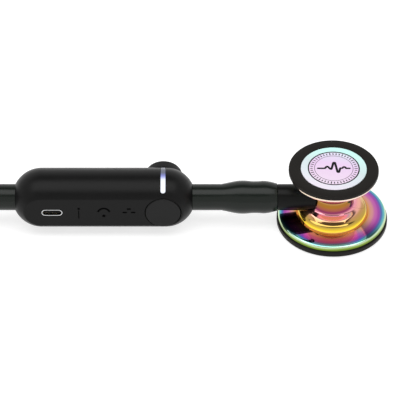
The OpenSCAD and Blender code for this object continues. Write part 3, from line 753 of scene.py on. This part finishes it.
def rims():
    """The two soft black rims."""
    low, high = box("large_rim")
    lip = high.x - 2.7
    foot = high.x - 1.55
    outline = rounded([(lip, low.z, 0.12), (high.x, low.z, 0.85), (high.x, high.z, 0.45),
                       (foot, high.z), (foot, low.z + 0.45), (lip, low.z + 0.45)],
                      closed=True, steps=8)
    large = lathe("large_rim_soft", outline, joined=True, segments=224)
    fit(large, "rim", "soft_black", "chestpiece", "large_rim")
    low, high = box("small_rim")
    top = box("chest_body")[1].z
    mouth = high.x - LIP
    skirt = high.x - 0.85
    bed = top - 0.5
    inside = high.x - 2.65
    outline = rounded([(mouth, top - 0.1, 0.05), (mouth, high.z, 0.12), (high.x, high.z, 0.45),
                       (high.x, low.z, 0.15), (skirt, low.z), (skirt, top), (inside, top),
                       (inside, bed), (mouth + 1, bed), (mouth + 1, top - 0.1)],
                      closed=True, steps=6)
    small = lathe("small_rim_soft", outline, joined=True, segments=224)
    fit(small, "rim", "soft_black", "chestpiece", "small_rim")


def diaphragms():
    """The two tensioned films, each with its skirt under the rim."""
    low, high = box("small_diaphragm")
    face = box("small_rim")[1].x - LIP - 0.15
    skirt = high.x
    outline = [(0.02, high.z), (5, high.z)]
    outline += rounded([(5, high.z), (face, high.z, 0.2), (face, low.z + 0.4), (skirt, low.z + 0.4),
                        (skirt, low.z), (face - 0.4, low.z), (face - 0.4, high.z - 0.4, 0.15),
                        (5, high.z - 0.4)])[1:]
    outline += [(0.02, high.z - 0.4)]
    small = lathe("small_diaphragm_film", outline, segments=192)
    fit(small, "film", "diaphragm_film", "chestpiece", "small_diaphragm")
    low, high = box("large_diaphragm")
    lip = box("large_rim")[1].x - 2.7
    outline = rounded([(0.02, low.z), (lip - 0.55, low.z, 0.3), (lip - 0.15, high.z - 0.4, 0.2),
                       (high.x, high.z - 0.4), (high.x, high.z), (lip - 0.4, high.z, 0.2),
                       (lip - 0.8, low.z + 0.4, 0.2), (0.02, low.z + 0.4)])
    large = lathe("large_diaphragm_film", outline, segments=192)
    fit(large, "plain film", "diaphragm_film", "chestpiece", "large_diaphragm")


def printed_marks():
    """Rings, a dial of short dashes and a pulse line, printed on the small diaphragm."""
    ring = settings("chestpiece").ring_radius / MM
    face = box("small_diaphragm")[1].z
    rings = []
    for radius, width in ((ring, 0.55), (ring - 2.6, 0.18)):
        outline = [(radius - width / 2, face - 0.01), (radius + width / 2, face - 0.01),
                   (radius + width / 2, face + 0.03), (radius - width / 2, face + 0.03)]
        rings.append(lathe("ring", outline, joined=True, segments=192))
    count = 44
    dashes = []
    for i in range(count):
        turn = 360 * i / count
        reach = 0.75 if i % 4 else 1.05
        spoke = Vector((math.cos(math.radians(turn)), math.sin(math.radians(turn)), 0))
        lift = Vector((0, 0, face))
        middle_r = ring - 1.3
        dashes.append(([spoke * (middle_r - reach / 2) + lift,
                        spoke * (middle_r + reach / 2) + lift], 0.22))
    dial = strokes("dial", dashes, Z_AXIS, 0.035, 8)
    beat = rounded([(-5.6, 0), (-3.1, 0, 0.4), (-2.3, 1.5, 0.35), (-1.5, 0, 0.3), (-0.9, -0.8, 0.3),
                    (0.3, 5.0, 0.3), (1.5, -3.9, 0.3), (2.3, 0.2, 0.3), (3.0, 0, 0.3),
                    (3.7, 1.2, 0.35), (4.4, 0, 0.3), (5.6, 0)], steps=6)
    pulse = strokes("pulse", [([(1.2 * u, 1.1 * v, face) for u, v in beat], 0.5)], Z_AXIS, 0.035, 8)
    build = bmesh.new()
    for part in (dial, pulse, *rings):
        build.from_mesh(part.data)
        bpy.data.objects.remove(part)
    mesh = bpy.data.meshes.new("small_diaphragm_print")
    build.to_mesh(mesh)
    build.free()
    fit(add_object("small_diaphragm_print", mesh), "ink", "soft_black", "chestpiece")


# ---- stem and tubing ----

# Distance back from the chest tube's free end, and growth of its radius there
BULGE = ((0, 0.2), (0.5, 0.35), (3, 1.0), (5.6, 1.35), (8.2, 1.2), (10.8, 1.2), (13.4, 1.45),
         (16, 1.45), (18.6, 1.1), (21.2, 0.55), (23.8, 0))
# Centre line of the main tube beyond the module
TUBE_ROUTE = (
    (-150, 0, 13.7), (-165, 0, 13.2), (-180, 0.5, 11.8), (-195, 1.5, 9.8), (-210, 3.5, 7.8),
    (-225, 6.5, 6.4), (-240, 10, 5.8), (-255, 13, 5.7), (-270, 15, 5.7), (-285, 15.5, 5.7),
    (-300, 14, 5.7), (-315, 11.5, 5.7), (-330, 8, 5.7), (-345, 4.5, 5.7), (-360, 2, 5.8),
    (-375, 0.5, 6.0), (-390, 0, 6.2), (-400, 0, 6.3), (-410, 0, 6.3),
)


def tube_radius():
    return STEM_HIGH.z - AXIS_Z + 0.02


def main_tube():
    """The long tube from the module to the fork of the headset."""
    exit_point = (SHELL_LOW.x, 0, AXIS_Z)
    path = smooth_path((exit_point,) + TUBE_ROUTE, 6)
    piece = loft("main_tube_soft", sweep_rows(path, tube_radius(), 48))
    piece.data.materials.append(finish("tubing"))
    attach(piece, "module")
    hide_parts("main_tube")
    run = sum((b - a).length for a, b in zip(path, path[1:]))
    [tuple(point * MM) for point in path]


def stem_and_chest_tube():
    """The turning stem and the short moulded tube between it and the module."""
    radius = tube_radius()
    start_x, free_x = [corner.x for corner in box("chest_tube")]
    face_x = -(settings("chestpiece").waist_radius / MM - SEAT_DEPTH) - 0.3
    end_x = STEM_HIGH.x
    barb_x = STEM_LOW.x
    outline = rounded([(1.6, barb_x), (2.6, barb_x, 0.2), (3.0, barb_x + 1.0, 0.2),
                       (3.0, free_x + 0.05), (radius - 0.02, free_x + 0.05, 0.35),
                       (radius - 0.02, face_x, 0.45),
                       (3.5, face_x), (3.5, 1.6), (2.7, 1.6), (2.7, 2.4), (3.5, 2.4),
                       (3.5, end_x, 0.3), (1.6, end_x)], closed=True)
    stem = lathe("stem_coated", outline, along_x, joined=True, segments=160)
    fit(stem, "stem", "black_stem", "module", "stem")
    outline = [(2.4, start_x), (radius - 0.15, start_x), (radius, start_x + 0.15)]
    grown = smooth_path([(free_x - d, radius + g) for d, g in reversed(BULGE)], 6)
    outline += [(point.y, point.x) for point in grown[:-1]]
    outline += [(radius + 0.05, free_x), (3.05, free_x), (3.05, free_x - 12), (2.4, free_x - 12.3)]
    tube = lathe("chest_tube_soft", outline, along_x, joined=True, segments=160, sharp=40)
    fit(tube, "tubing", "tubing", "module", "chest_tube")


# ---- amplifier module ----

END_DEPTH = 11.2  # how far each rounded end runs beyond the straight part
NOZZLE_HOLE_R = 3.05


def shell_profile(radius, depth, steps):
    """Half outline (x from the middle, radius) of one end: round, then the cut-off face."""
    straight = (SHELL_HIGH.x - SHELL_LOW.x) / 2 - END_DEPTH
    top = math.degrees(math.asin(depth / radius))
    curve = [(straight + radius * math.sin(math.radians(top * k / steps)),
              radius * math.cos(math.radians(top * k / steps))) for k in range(steps + 1)]
    end = rounded([curve[-3], (*curve[-1], 0.5), (straight + depth, NOZZLE_HOLE_R)],
                  steps=6)
    return [(straight * k / 14, radius) for k in range(14)] + curve[:-2] + end[1:]


def module_body(name):
    """The whole hollow housing, which each shell is cut from."""
    sizes = settings("module")
    wall = sizes.wall / MM
    soft = sizes.edge_round / MM
    radius = SHELL_HIGH.z - AXIS_Z
    flat = SHELL_HIGH.y
    outer = shell_profile(radius, END_DEPTH, 22)
    inner = shell_profile(radius - wall, END_DEPTH - 2.4, 12)
    loop = [(x, r, flat) for x, r in outer] + [(x, r, flat - wall) for x, r in reversed(inner)]
    loop += [(-x, r, flat - wall) for x, r in inner[1:]]
    loop += [(-x, r, flat) for x, r in reversed(outer[1:])]
    rows = []
    count = 240
    for x, r, side in loop:
        row = []
        for k in range(count):
            turn = math.tau * k / count
            reach = side / max(abs(math.cos(turn)), 1e-6)
            near = max(soft - abs(reach - r), 0.0) / soft
            size = min(reach, r) - near * near * soft / 4
            row.append(Vector((MODULE_X + x, size * math.cos(turn),
                               AXIS_Z + size * math.sin(turn))))
        rows.append(row)
    return loft(name, rows, joined=True, sharp=28)


def light_rows(inner, outer, half_width, half_angle, top_round):
    """Rows of a bar bent about the tube's axis, with round ends."""
    cap = math.degrees(half_width / outer)
    rows = []
    stations = [(-half_angle + cap * (1 - math.cos(math.radians(t))), math.sin(math.radians(t)))
                for t in (6, 20, 35, 50, 65, 80)]
    stations += [(mix(-half_angle + cap, half_angle - cap, k / 24), 1.0) for k in range(25)]
    stations += [(-turn, share) for turn, share in reversed(stations[:6])]
    for turn, share in stations:
        w = half_width * share
        soft = min(top_round, 0.6 * w)
        section = rounded([(-w, inner), (-w, outer, soft), (w, outer, soft), (w, inner)], steps=4)
        tilt = math.radians(turn)
        rows.append([Vector((CONTROL_X + u, -r * math.sin(tilt), AXIS_Z + r * math.cos(tilt)))
                     for u, r in section])
    return rows


def slot_rows(mouths):
    return [stadium(width, height, y, middle("usb_shell").x) for width, height, y in mouths]


def symbol_paths():
    """Strokes (path, radius) of the three symbols: a pin, an arch over a dot, three dashes."""
    pitch = 10.7
    at = Vector((MODULE_X + 0.2, SHELL_LOW.y, AXIS_Z))

    def line(across, *heights):
        return [at + Vector((across, 0, height)) for height in heights]

    arch = [at + Vector((u, 0, v)) for u, v in arc((0, 0), (2.45, 2.45), 18, 162, 20)]
    marks = [(line(-pitch, 2.15, 2.25), 0.55), (line(-pitch, 1.05, -3.0), 0.18), (arch, 0.42),
             (line(0, -1.8, -1.7), 0.72)]
    for across, height in ((0, 2.1), (-1.8, 0.2), (1.8, 0.2)):
        centre = at + Vector((pitch + across, 0, height))
        marks.append(([centre - Vector((0.6, 0, 0)), centre + Vector((0.6, 0, 0))], 0.38))
    return marks


def module_shells():
    """The top shell and the bottom cover."""
    body = module_body("module_top_shell_matte")
    lower = module_body("module_bottom_cover_matte")
    low, high = box("usb_shell")
    width = high.x - low.x
    height = high.z - low.z
    front = SHELL_LOW.y
    hole = box("front_button")[1].z - AXIS_Z + 0.32
    low, high = box("light_guide")
    half_light = (high.x - low.x) / 2
    button_hole = [(hole + 0.1, front - 1.0), (hole + 0.1, front), (hole, front + 0.1),
                   (hole, front + 2.8)]
    cut(body,
        lathe("hole", button_hole, along_y(CONTROL_X), segments=144),
        rod(2.65, 5, 14, along_y(CONTROL_X)),
        loft("slot", light_rows(10, 14, half_light + 0.05, 42.3, 0.05)),
        loft("port", slot_rows([(width + 1.5, height + 1.5, front - 0.4),
                                (width + 0.1, height + 0.1, front + 0.3),
                                (width + 0.1, height + 0.1, front + 3.5)])),
        strokes("symbols", [(path, r + 0.03) for path, r in symbol_paths()], Y_AXIS, 0.5),
        sharp=5)
    seam = SHELL_LOW.z
    left = SHELL_LOW.x - 5
    right = SHELL_HIGH.x + 5
    below = ((left, -20, -20), (right, 20, seam + 0.05))
    above = ((left, -20, seam - 0.05), (right, 20, 40))
    cut(body, blocks("below", [below], 0.01), sharp=5)
    fit(body, "shell", "matte_shell", "module", "module_top_shell")
    cut(lower, blocks("above", [above], 0.01), *screw_holes(), sharp=5)
    fit(lower, "shell", "matte_shell", "module", "module_bottom_cover")


def screw_holes():
    """Cutters for the cover's four screws and the wells of their heads."""
    low, high = box("cover_screws")
    outline = [(1.9, -1), (1.9, low.z - 1.15), (1.6, low.z - 0.9), (1.6, low.z + 0.7),
               (0.95, low.z + 0.7), (0.95, low.z + 6)]
    holes = []
    for x in (low.x + 1.5, high.x - 1.5):
        for y in (low.y + 1.5, high.y - 1.5):
            holes.append(lathe("screw_hole", outline, upright(x, y), segments=40))
    return holes


def controls():
    """The front button, the rear knob and the light bar."""
    low, high = box("front_button")
    radius = high.z - AXIS_Z
    outline = [(0.02, low.y + 0.12), (2.5, low.y + 0.11), (5.0, low.y + 0.06)]
    outline += rounded([(5.0, low.y + 0.06), (radius, low.y, 0.35), (radius, high.y - 1.0),
                        (radius + 1.6, high.y - 1.0), (radius + 1.6, high.y), (0.02, high.y)])[1:]
    button = lathe("front_button_matte", outline, along_y(CONTROL_X), segments=160)
    # The button's flange is cut away above and below, which leaves its two tabs
    trims = [((CONTROL_X - 12, high.y - 1.2, AXIS_Z + bottom),
              (CONTROL_X + 12, high.y + 1, AXIS_Z + top))
             for bottom, top in ((-12, -2.5), (2.5, 12))]
    cut(button, *[blocks("trim", [trim], 0.01) for trim in trims])
    fit(button, "button", "button_plastic", "button", "front_button")
    low, high = box("rear_knob")
    radius = high.z - AXIS_Z + 0.45
    outline = [(0.02, low.y)]
    outline += rounded([(0.02, low.y), (radius, low.y, 0.4), (radius, high.y + 0.4, 0.9),
                        (radius - 2.1, high.y + 0.4, 0.4), (radius - 2.8, high.y - 0.15, 0.4),
                        (0.02, high.y - 0.35)], steps=8)[1:]
    knob = lathe("rear_knob_matte", outline, along_y(CONTROL_X), segments=160)
    cut(knob, rod(1.5, low.y - 1, high.y - 1.0, along_y(CONTROL_X)))
    fit(knob, "button", "button_plastic", "knob", "rear_knob")
    low, high = box("light_guide")
    reach = high.z - AXIS_Z
    bar = loft("light_bar_lit", light_rows(reach - 1.65, reach, (high.x - low.x) / 2, 42, 0.3))
    fit(bar, "light", "light_plastic", "module", "light_guide")
    stalk = blocks("light_stalk", [((CONTROL_X - 1, -1, AXIS_Z - 0.6),
                                    (CONTROL_X + 1, 1, AXIS_Z + reach - 1.6))], 0.15)
    fit(stalk, "light", "light_plastic", "module")


def port():
    """The charging port: a drawn steel shell, its tongue and its contacts."""
    low, high = box("usb_shell")
    width = high.x - low.x
    height = high.z - low.z
    wall = 0.35
    rings = [(width, height, high.y), (width, height, low.y + 0.15),
             (width - 0.1, height - 0.1, low.y + 0.03), (width - 0.35, height - 0.35, low.y - 0.02),
             (width - 0.6, height - 0.6, low.y + 0.03),
             (width - 2 * wall, height - 2 * wall, low.y + 0.2),
             (width - 2 * wall, height - 2 * wall, high.y - 0.5)]
    shell = loft("usb_shell_drawn", slot_rows(rings))
    fit(shell, "port", "port_steel", "module", "usb_shell")
    low, high = box("usb_tongue")
    tongue = blocks("usb_tongue_moulded", [(low, high)], 0.12)
    fit(tongue, "dark", "dark_plastic", "module", "usb_tongue")
    x = middle("usb_tongue").x
    pads = []
    for i in range(12):
        for z in (low.z - 0.015, high.z - 0.045):
            at = x + (i - 5.5) * 0.5
            pads.append(((at - 0.14, low.y + 1.4, z), (at + 0.14, low.y + 4.0, z + 0.06)))
    contacts = blocks("usb_contacts", pads, 0.01)
    fit(contacts, "gold", "steel", "module")


def symbols():
    """Dark inserts at the bottom of the three debossed symbols: their own dark plastic, made near
    black and almost without gloss as painted shade of the grooves.
    """
    marks = [([point + Vector((0, 0.34, 0)) for point in path], r) for path, r in symbol_paths()]
    inserts = strokes("symbol_inserts_dark", marks, Y_AXIS, 0.14)
    fit(inserts, "symbol", "dark_plastic", "module", "symbol_inserts")


# ---- headset ----

def fork_outline(radius, inner, corner):
    """(across, up) points: a half circle outside, and inside a shape from square to round."""
    outline = []
    for k in range(40):
        turn = math.tau * k / 40 - math.pi / 2
        c = math.cos(turn)
        s = math.sin(turn)
        if c < -1e-9:
            c = -inner / radius * abs(c) ** (2 / corner)
            s = math.copysign(abs(s) ** (2 / corner), s)
        outline.append((radius * c, radius * s))
    return outline


def fork_ring(side, point, turn, outline):
    """Places an outline square to an arm's heading."""
    across = Vector((math.sin(turn), math.cos(turn)))
    row = []
    for u, w in outline:
        spot = point + across * u
        row.append(Vector((spot.x, side * spot.y, HUB_Z + w)))
    return row


def fork_half(side):
    """One half of the moulded Y with its arm, from the fork to the ear tube."""
    sizes = settings("tubing")
    arm_r = sizes.arm_radius / MM
    full_turn = sizes.arm_angle
    low, high = box("y_hub")
    pivot = Vector(FLEX)
    lobe = 5.5
    bend_r = 9.0
    bend_length = 2.85
    stations = []
    for k in range(33):
        x = mix(high.x, pivot.x, k / 33)
        stations.append((Vector((x, pivot.y * ease(x, high.x - 1, high.x - 15))), 0.0))
    for k in range(9):
        turn = full_turn * k / 8
        stations.append((pivot + Vector((-math.sin(turn), 1 - math.cos(turn))) * bend_r, turn))
    heading = Vector((-math.cos(full_turn), math.sin(full_turn)))
    start = stations[-1][0]
    reach = sizes.arm_length / MM - bend_length
    stations += [(start + heading * reach * k / 30, full_turn) for k in range(1, 31)]
    rows = []
    for point, turn in stations:
        radius = mix(tube_radius(), lobe, ease(point.x, high.x, high.x - 8))
        radius = mix(radius, arm_r, ease(point.x, high.x - 14, high.x - 34))
        opened = ease(point.x, low.x + 1.5, pivot.x - 1)
        inner = mix(point.y / math.cos(turn), radius, opened)
        rows.append(fork_ring(side, point, turn, fork_outline(radius, inner, mix(24, 2, opened))))
    last = stations[-1][0]
    for radius, forward in ((arm_r - 0.15, 0.35), (arm_r - 0.55, 0.6), (3.25, 0.6), (3.25, -3.0)):
        end = fork_outline(radius, radius, 2)
        rows.append(fork_ring(side, last + heading * forward, full_turn, end))
    name = SIDES[side]
    piece = loft(name + "_fork_arm_soft", rows, sharp=45)
    piece.data.materials.append(finish("tubing"))
    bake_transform(piece)
    nodes = ["left_arm", "y_hub"] if side > 0 else ["right_arm"]
    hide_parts(*nodes)


def at_flex(side):
    """From an arm's own axes, along z, to the model."""
    turn = math.pi - side * settings("tubing").arm_angle
    return (Matrix.Translation((FLEX[0], side * FLEX[1], HUB_Z)) @ Matrix.Rotation(turn, 4, "Z")
            @ Matrix.Rotation(math.pi / 2, 4, "Y"))


EAR_INSERT = 24.0
EAR_STRAIGHT = 40.0
# Radius, angle in degrees and steps of each bend, going outwards
EAR_BENDS = ((140.0, 30.0, 24), (32.0, 50.0, 28))
EAR_END = 10.0


def ear_path(side):
    """Centre line of an ear tube in an arm's axes, and the heading at its end."""
    start = settings("tubing").arm_length / MM - EAR_INSERT
    straight = EAR_INSERT + EAR_STRAIGHT
    points = [Vector((0, 0, start + straight * k / 8)) for k in range(9)]
    heading = 0.0
    for radius, turn, steps in EAR_BENDS:
        base = points[-1].copy()
        for i in range(1, steps + 1):
            h = heading + math.radians(turn) * i / steps
            offset = Vector((0, math.cos(heading) - math.cos(h), math.sin(h) - math.sin(heading)))
            points.append(base + offset * radius)
        heading += math.radians(turn)
    forward = Vector((0, math.sin(heading), math.cos(heading)))
    points += [points[-1] + forward * EAR_END * k / 3 for k in (1, 2, 3)]
    mirror = Matrix.Diagonal((1, side, 1)).to_4x4()
    place = at_flex(side) @ mirror
    return [place @ point for point in points], (place.to_3x3() @ forward).normalized()


def ear_tube(side):
    """One bent metal tube, open at both ends."""
    path = ear_path(side)[0]
    outer = sweep_rows(path, 3.2, 40)
    inner = sweep_rows(path, 2.4, 40)
    lip_in = sweep_rows(path[:2], 3.0, 40)[0]
    lip_out = sweep_rows(path[-2:], 3.0, 40)[1]
    rows = [lip_in] + outer + [lip_out] + inner[::-1]
    name = SIDES[side]
    piece = loft(name + "_ear_tube_coated", rows, joined=True, sharp=40)
    fit(piece, "stem", "black_stem", name + "_ear", name + "_ear_tube")


def ear_tip(side):
    """One soft ear tip on the end of its tube."""
    path, forward = ear_path(side)
    name = SIDES[side]
    base = path[-1] - forward * 6.0
    turn = forward.to_track_quat("Z", "Y").to_matrix()
    outline = [(3.2, 0), (3.9, 0), (4.1, 0.2), (4.1, 4.2)]
    outline += arc((1.5, 8.5), (4.8, 2.6), -60, 0, 8)
    outline += arc((1.5, 8.5), (4.8, 8.5), 6, 82, 18)
    outline += [(1.95, 17.0), (1.8, 16.8), (1.8, 6.0), (3.2, 6.0)]
    place = lambda u, v, w: base + turn @ Vector((u, v, w))
    piece = lathe(name + "_ear_tip_soft", outline, place, joined=True, segments=64, sharp=40)
    fit(piece, "tip", "ear_tip_rubber", name + "_ear", name + "_ear_tip")


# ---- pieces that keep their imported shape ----

KEPT = {
    "steel": ("detent_ball", "detent_spring", "detent_screw", "stem_clip", "cover_screws",
              "microphone", "speaker", "encoder_shaft", "volume_encoder", "leaf_spring"),
    "rim": ("stem_seal", "cover_gasket"),
    "dark": ("mic_nozzle", "speaker_nozzle", "button_switch"),
    "board": ("main_board",),
    "chip": ("board_chips",),
    "foil": ("battery",),
    "lamp": ("status_light",),
}


def kept_nodes():
    for name, nodes in KEPT.items():
        for node in nodes:
            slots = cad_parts[node].data.materials
            slots.clear()
            slots.append(finish(name))


# ---- camera, light and floor ----

def camera():
    sizes = settings("stage")
    aim_y = -0.00071
    aim_z = 0.01265
    target = Vector((-sizes.target_x, aim_y, aim_z))
    tilt = sizes.elevation
    back = Vector((0, -math.cos(tilt), math.sin(tilt))) * sizes.distance
    lens = bpy.data.cameras.new("camera")
    lens.lens = sizes.lens
    lens.sensor_width = 36.0
    eye = add_object("camera", lens)
    eye.location = target + back
    eye.rotation_euler = (-back).to_track_quat("-Z", "Y").to_euler()
    bpy.context.scene.camera = eye


def overhead_light():
    """One wide soft box above the front of the module."""
    place = Vector((-0.12, -0.08, 0.95))
    aim = Vector((-0.12, 0.0, 0.0))
    lamp = bpy.data.lights.new("overhead", "AREA")
    lamp.shape = "RECTANGLE"
    lamp.size = 1.5
    lamp.size_y = 0.75
    lamp.energy = 8.5
    light = add_object("overhead", lamp)
    light.location = place
    light.rotation_euler = (aim - place).to_track_quat("-Z", "Y").to_euler()


def stage():
    """A pale glowing floor, a white surround and the light overhead."""
    half = 3.0
    mesh = bpy.data.meshes.new("floor")
    corners = [(-half, -half, 0), (half, -half, 0), (half, half, 0), (-half, half, 0)]
    mesh.from_pydata(corners, [], [(0, 1, 2, 3)])
    mesh.materials.append(finish("floor"))
    floor = add_object("floor", mesh)
    bpy.context.scene.view_settings.view_transform = "Standard"
    surround()
    overhead_light()


def surround():
    """White all round up to the height of the camera, and dimmer overhead."""
    world = bpy.data.worlds.new("surround")
    world.use_nodes = True
    tree = world.node_tree
    place = tree.nodes.new("ShaderNodeTexCoord")
    parts = tree.nodes.new("ShaderNodeSeparateXYZ")
    ramp = tree.nodes.new("ShaderNodeMapRange")
    ramp.interpolation_type = "SMOOTHSTEP"
    for socket, value in ((1, 0.66), (2, 0.76), (3, 0.95), (4, 0.16)):
        ramp.inputs[socket].default_value = value
    background = tree.nodes["Background"]
    tree.links.new(place.outputs["Generated"], parts.inputs[0])
    tree.links.new(parts.outputs["Z"], ramp.inputs[0])
    tree.links.new(ramp.outputs[0], background.inputs["Strength"])
    background.inputs["Color"].default_value = (1.0, 1.0, 1.0, 1.0)
    bpy.context.scene.world = world


# ---- operators and panel ----

class BuildCamera(bpy.types.Operator):
    """Add the camera"""

    bl_idname = "stethoscope.camera"
    bl_label = "Camera"

    def execute(self, context):
        camera()
        return {"FINISHED"}


class BuildMainTube(bpy.types.Operator):
    """Build the main tube"""

    bl_idname = "stethoscope.main_tube"
    bl_label = "Main tube"

    def execute(self, context):
        main_tube()
        return {"FINISHED"}


class BuildChestBody(bpy.types.Operator):
    """Build the rainbow chestpiece body"""

    bl_idname = "stethoscope.chest_body"
    bl_label = "Chestpiece body"

    def execute(self, context):
        chest_body()
        return {"FINISHED"}


class BuildRims(bpy.types.Operator):
    """Build both rims"""

    bl_idname = "stethoscope.rims"
    bl_label = "Rims"

    def execute(self, context):
        rims()
        return {"FINISHED"}


class BuildDiaphragms(bpy.types.Operator):
    """Build both diaphragms and the printed marks"""

    bl_idname = "stethoscope.diaphragms"
    bl_label = "Diaphragms"

    def execute(self, context):
        diaphragms()
        printed_marks()
        return {"FINISHED"}


class BuildStem(bpy.types.Operator):
    """Build the stem and the chest tube"""

    bl_idname = "stethoscope.stem"
    bl_label = "Stem and chest tube"

    def execute(self, context):
        stem_and_chest_tube()
        return {"FINISHED"}


class BuildShells(bpy.types.Operator):
    """Build the module's two shells"""

    bl_idname = "stethoscope.shells"
    bl_label = "Module shells"

    def execute(self, context):
        module_shells()
        return {"FINISHED"}


class BuildControls(bpy.types.Operator):
    """Build the button, the knob, the light bar, the port and the symbols"""

    bl_idname = "stethoscope.controls"
    bl_label = "Controls, port and symbols"

    def execute(self, context):
        controls()
        port()
        symbols()
        return {"FINISHED"}


class BuildHeadset(bpy.types.Operator):
    """Build the fork, arms, ear tubes and ear tips"""

    bl_idname = "stethoscope.headset"
    bl_label = "Headset"

    def execute(self, context):
        for side in (1, -1):
            fork_half(side)
            ear_tube(side)
            ear_tip(side)
        return {"FINISHED"}


class BuildInnerParts(bpy.types.Operator):
    """Give the inner parts their finishes"""

    bl_idname = "stethoscope.inner_parts"
    bl_label = "Inner parts"

    def execute(self, context):
        kept_nodes()
        return {"FINISHED"}


class BuildStage(bpy.types.Operator):
    """Add the floor and the lights"""

    bl_idname = "stethoscope.stage"
    bl_label = "Floor and lights"

    def execute(self, context):
        stage()
        return {"FINISHED"}


OPERATORS = (BuildCamera, BuildMainTube, BuildChestBody, BuildRims, BuildDiaphragms, BuildStem,
             BuildShells, BuildControls, BuildHeadset, BuildInnerParts, BuildStage)
GROUPS = {
    "chestpiece": ChestpieceSettings,
    "module": ModuleSettings,
    "tubing": TubingSettings,
    "stage": StageSettings,
}


class StethoscopePanel(bpy.types.Panel):
    """Sidebar panel with the settings and the builders"""

    bl_idname = "VIEW3D_PT_stethoscope"
    bl_label = "Stethoscope"
    bl_space_type = "VIEW_3D"
    bl_region_type = "UI"
    bl_category = "Stethoscope"

    def draw(self, context):
        for group, kind in GROUPS.items():
            values = getattr(context.scene, group)
            for name in kind.__annotations__:
                self.layout.prop(values, name)
        for operator in OPERATORS:
            self.layout.operator(operator.bl_idname)


def register():
    for kind in (*GROUPS.values(), *OPERATORS, StethoscopePanel):
        bpy.utils.register_class(kind)
    for name, kind in GROUPS.items():
        setattr(bpy.types.Scene, name, bpy.props.PointerProperty(type=kind))


def unregister():
    for name in GROUPS:
        delattr(bpy.types.Scene, name)
    for kind in reversed((*GROUPS.values(), *OPERATORS, StethoscopePanel)):
        bpy.utils.unregister_class(kind)


def main():
    register()
    for operator in OPERATORS:
        group, name = operator.bl_idname.split(".")
        getattr(getattr(bpy.ops, group), name)()


if __name__ == "__main__":
    main()
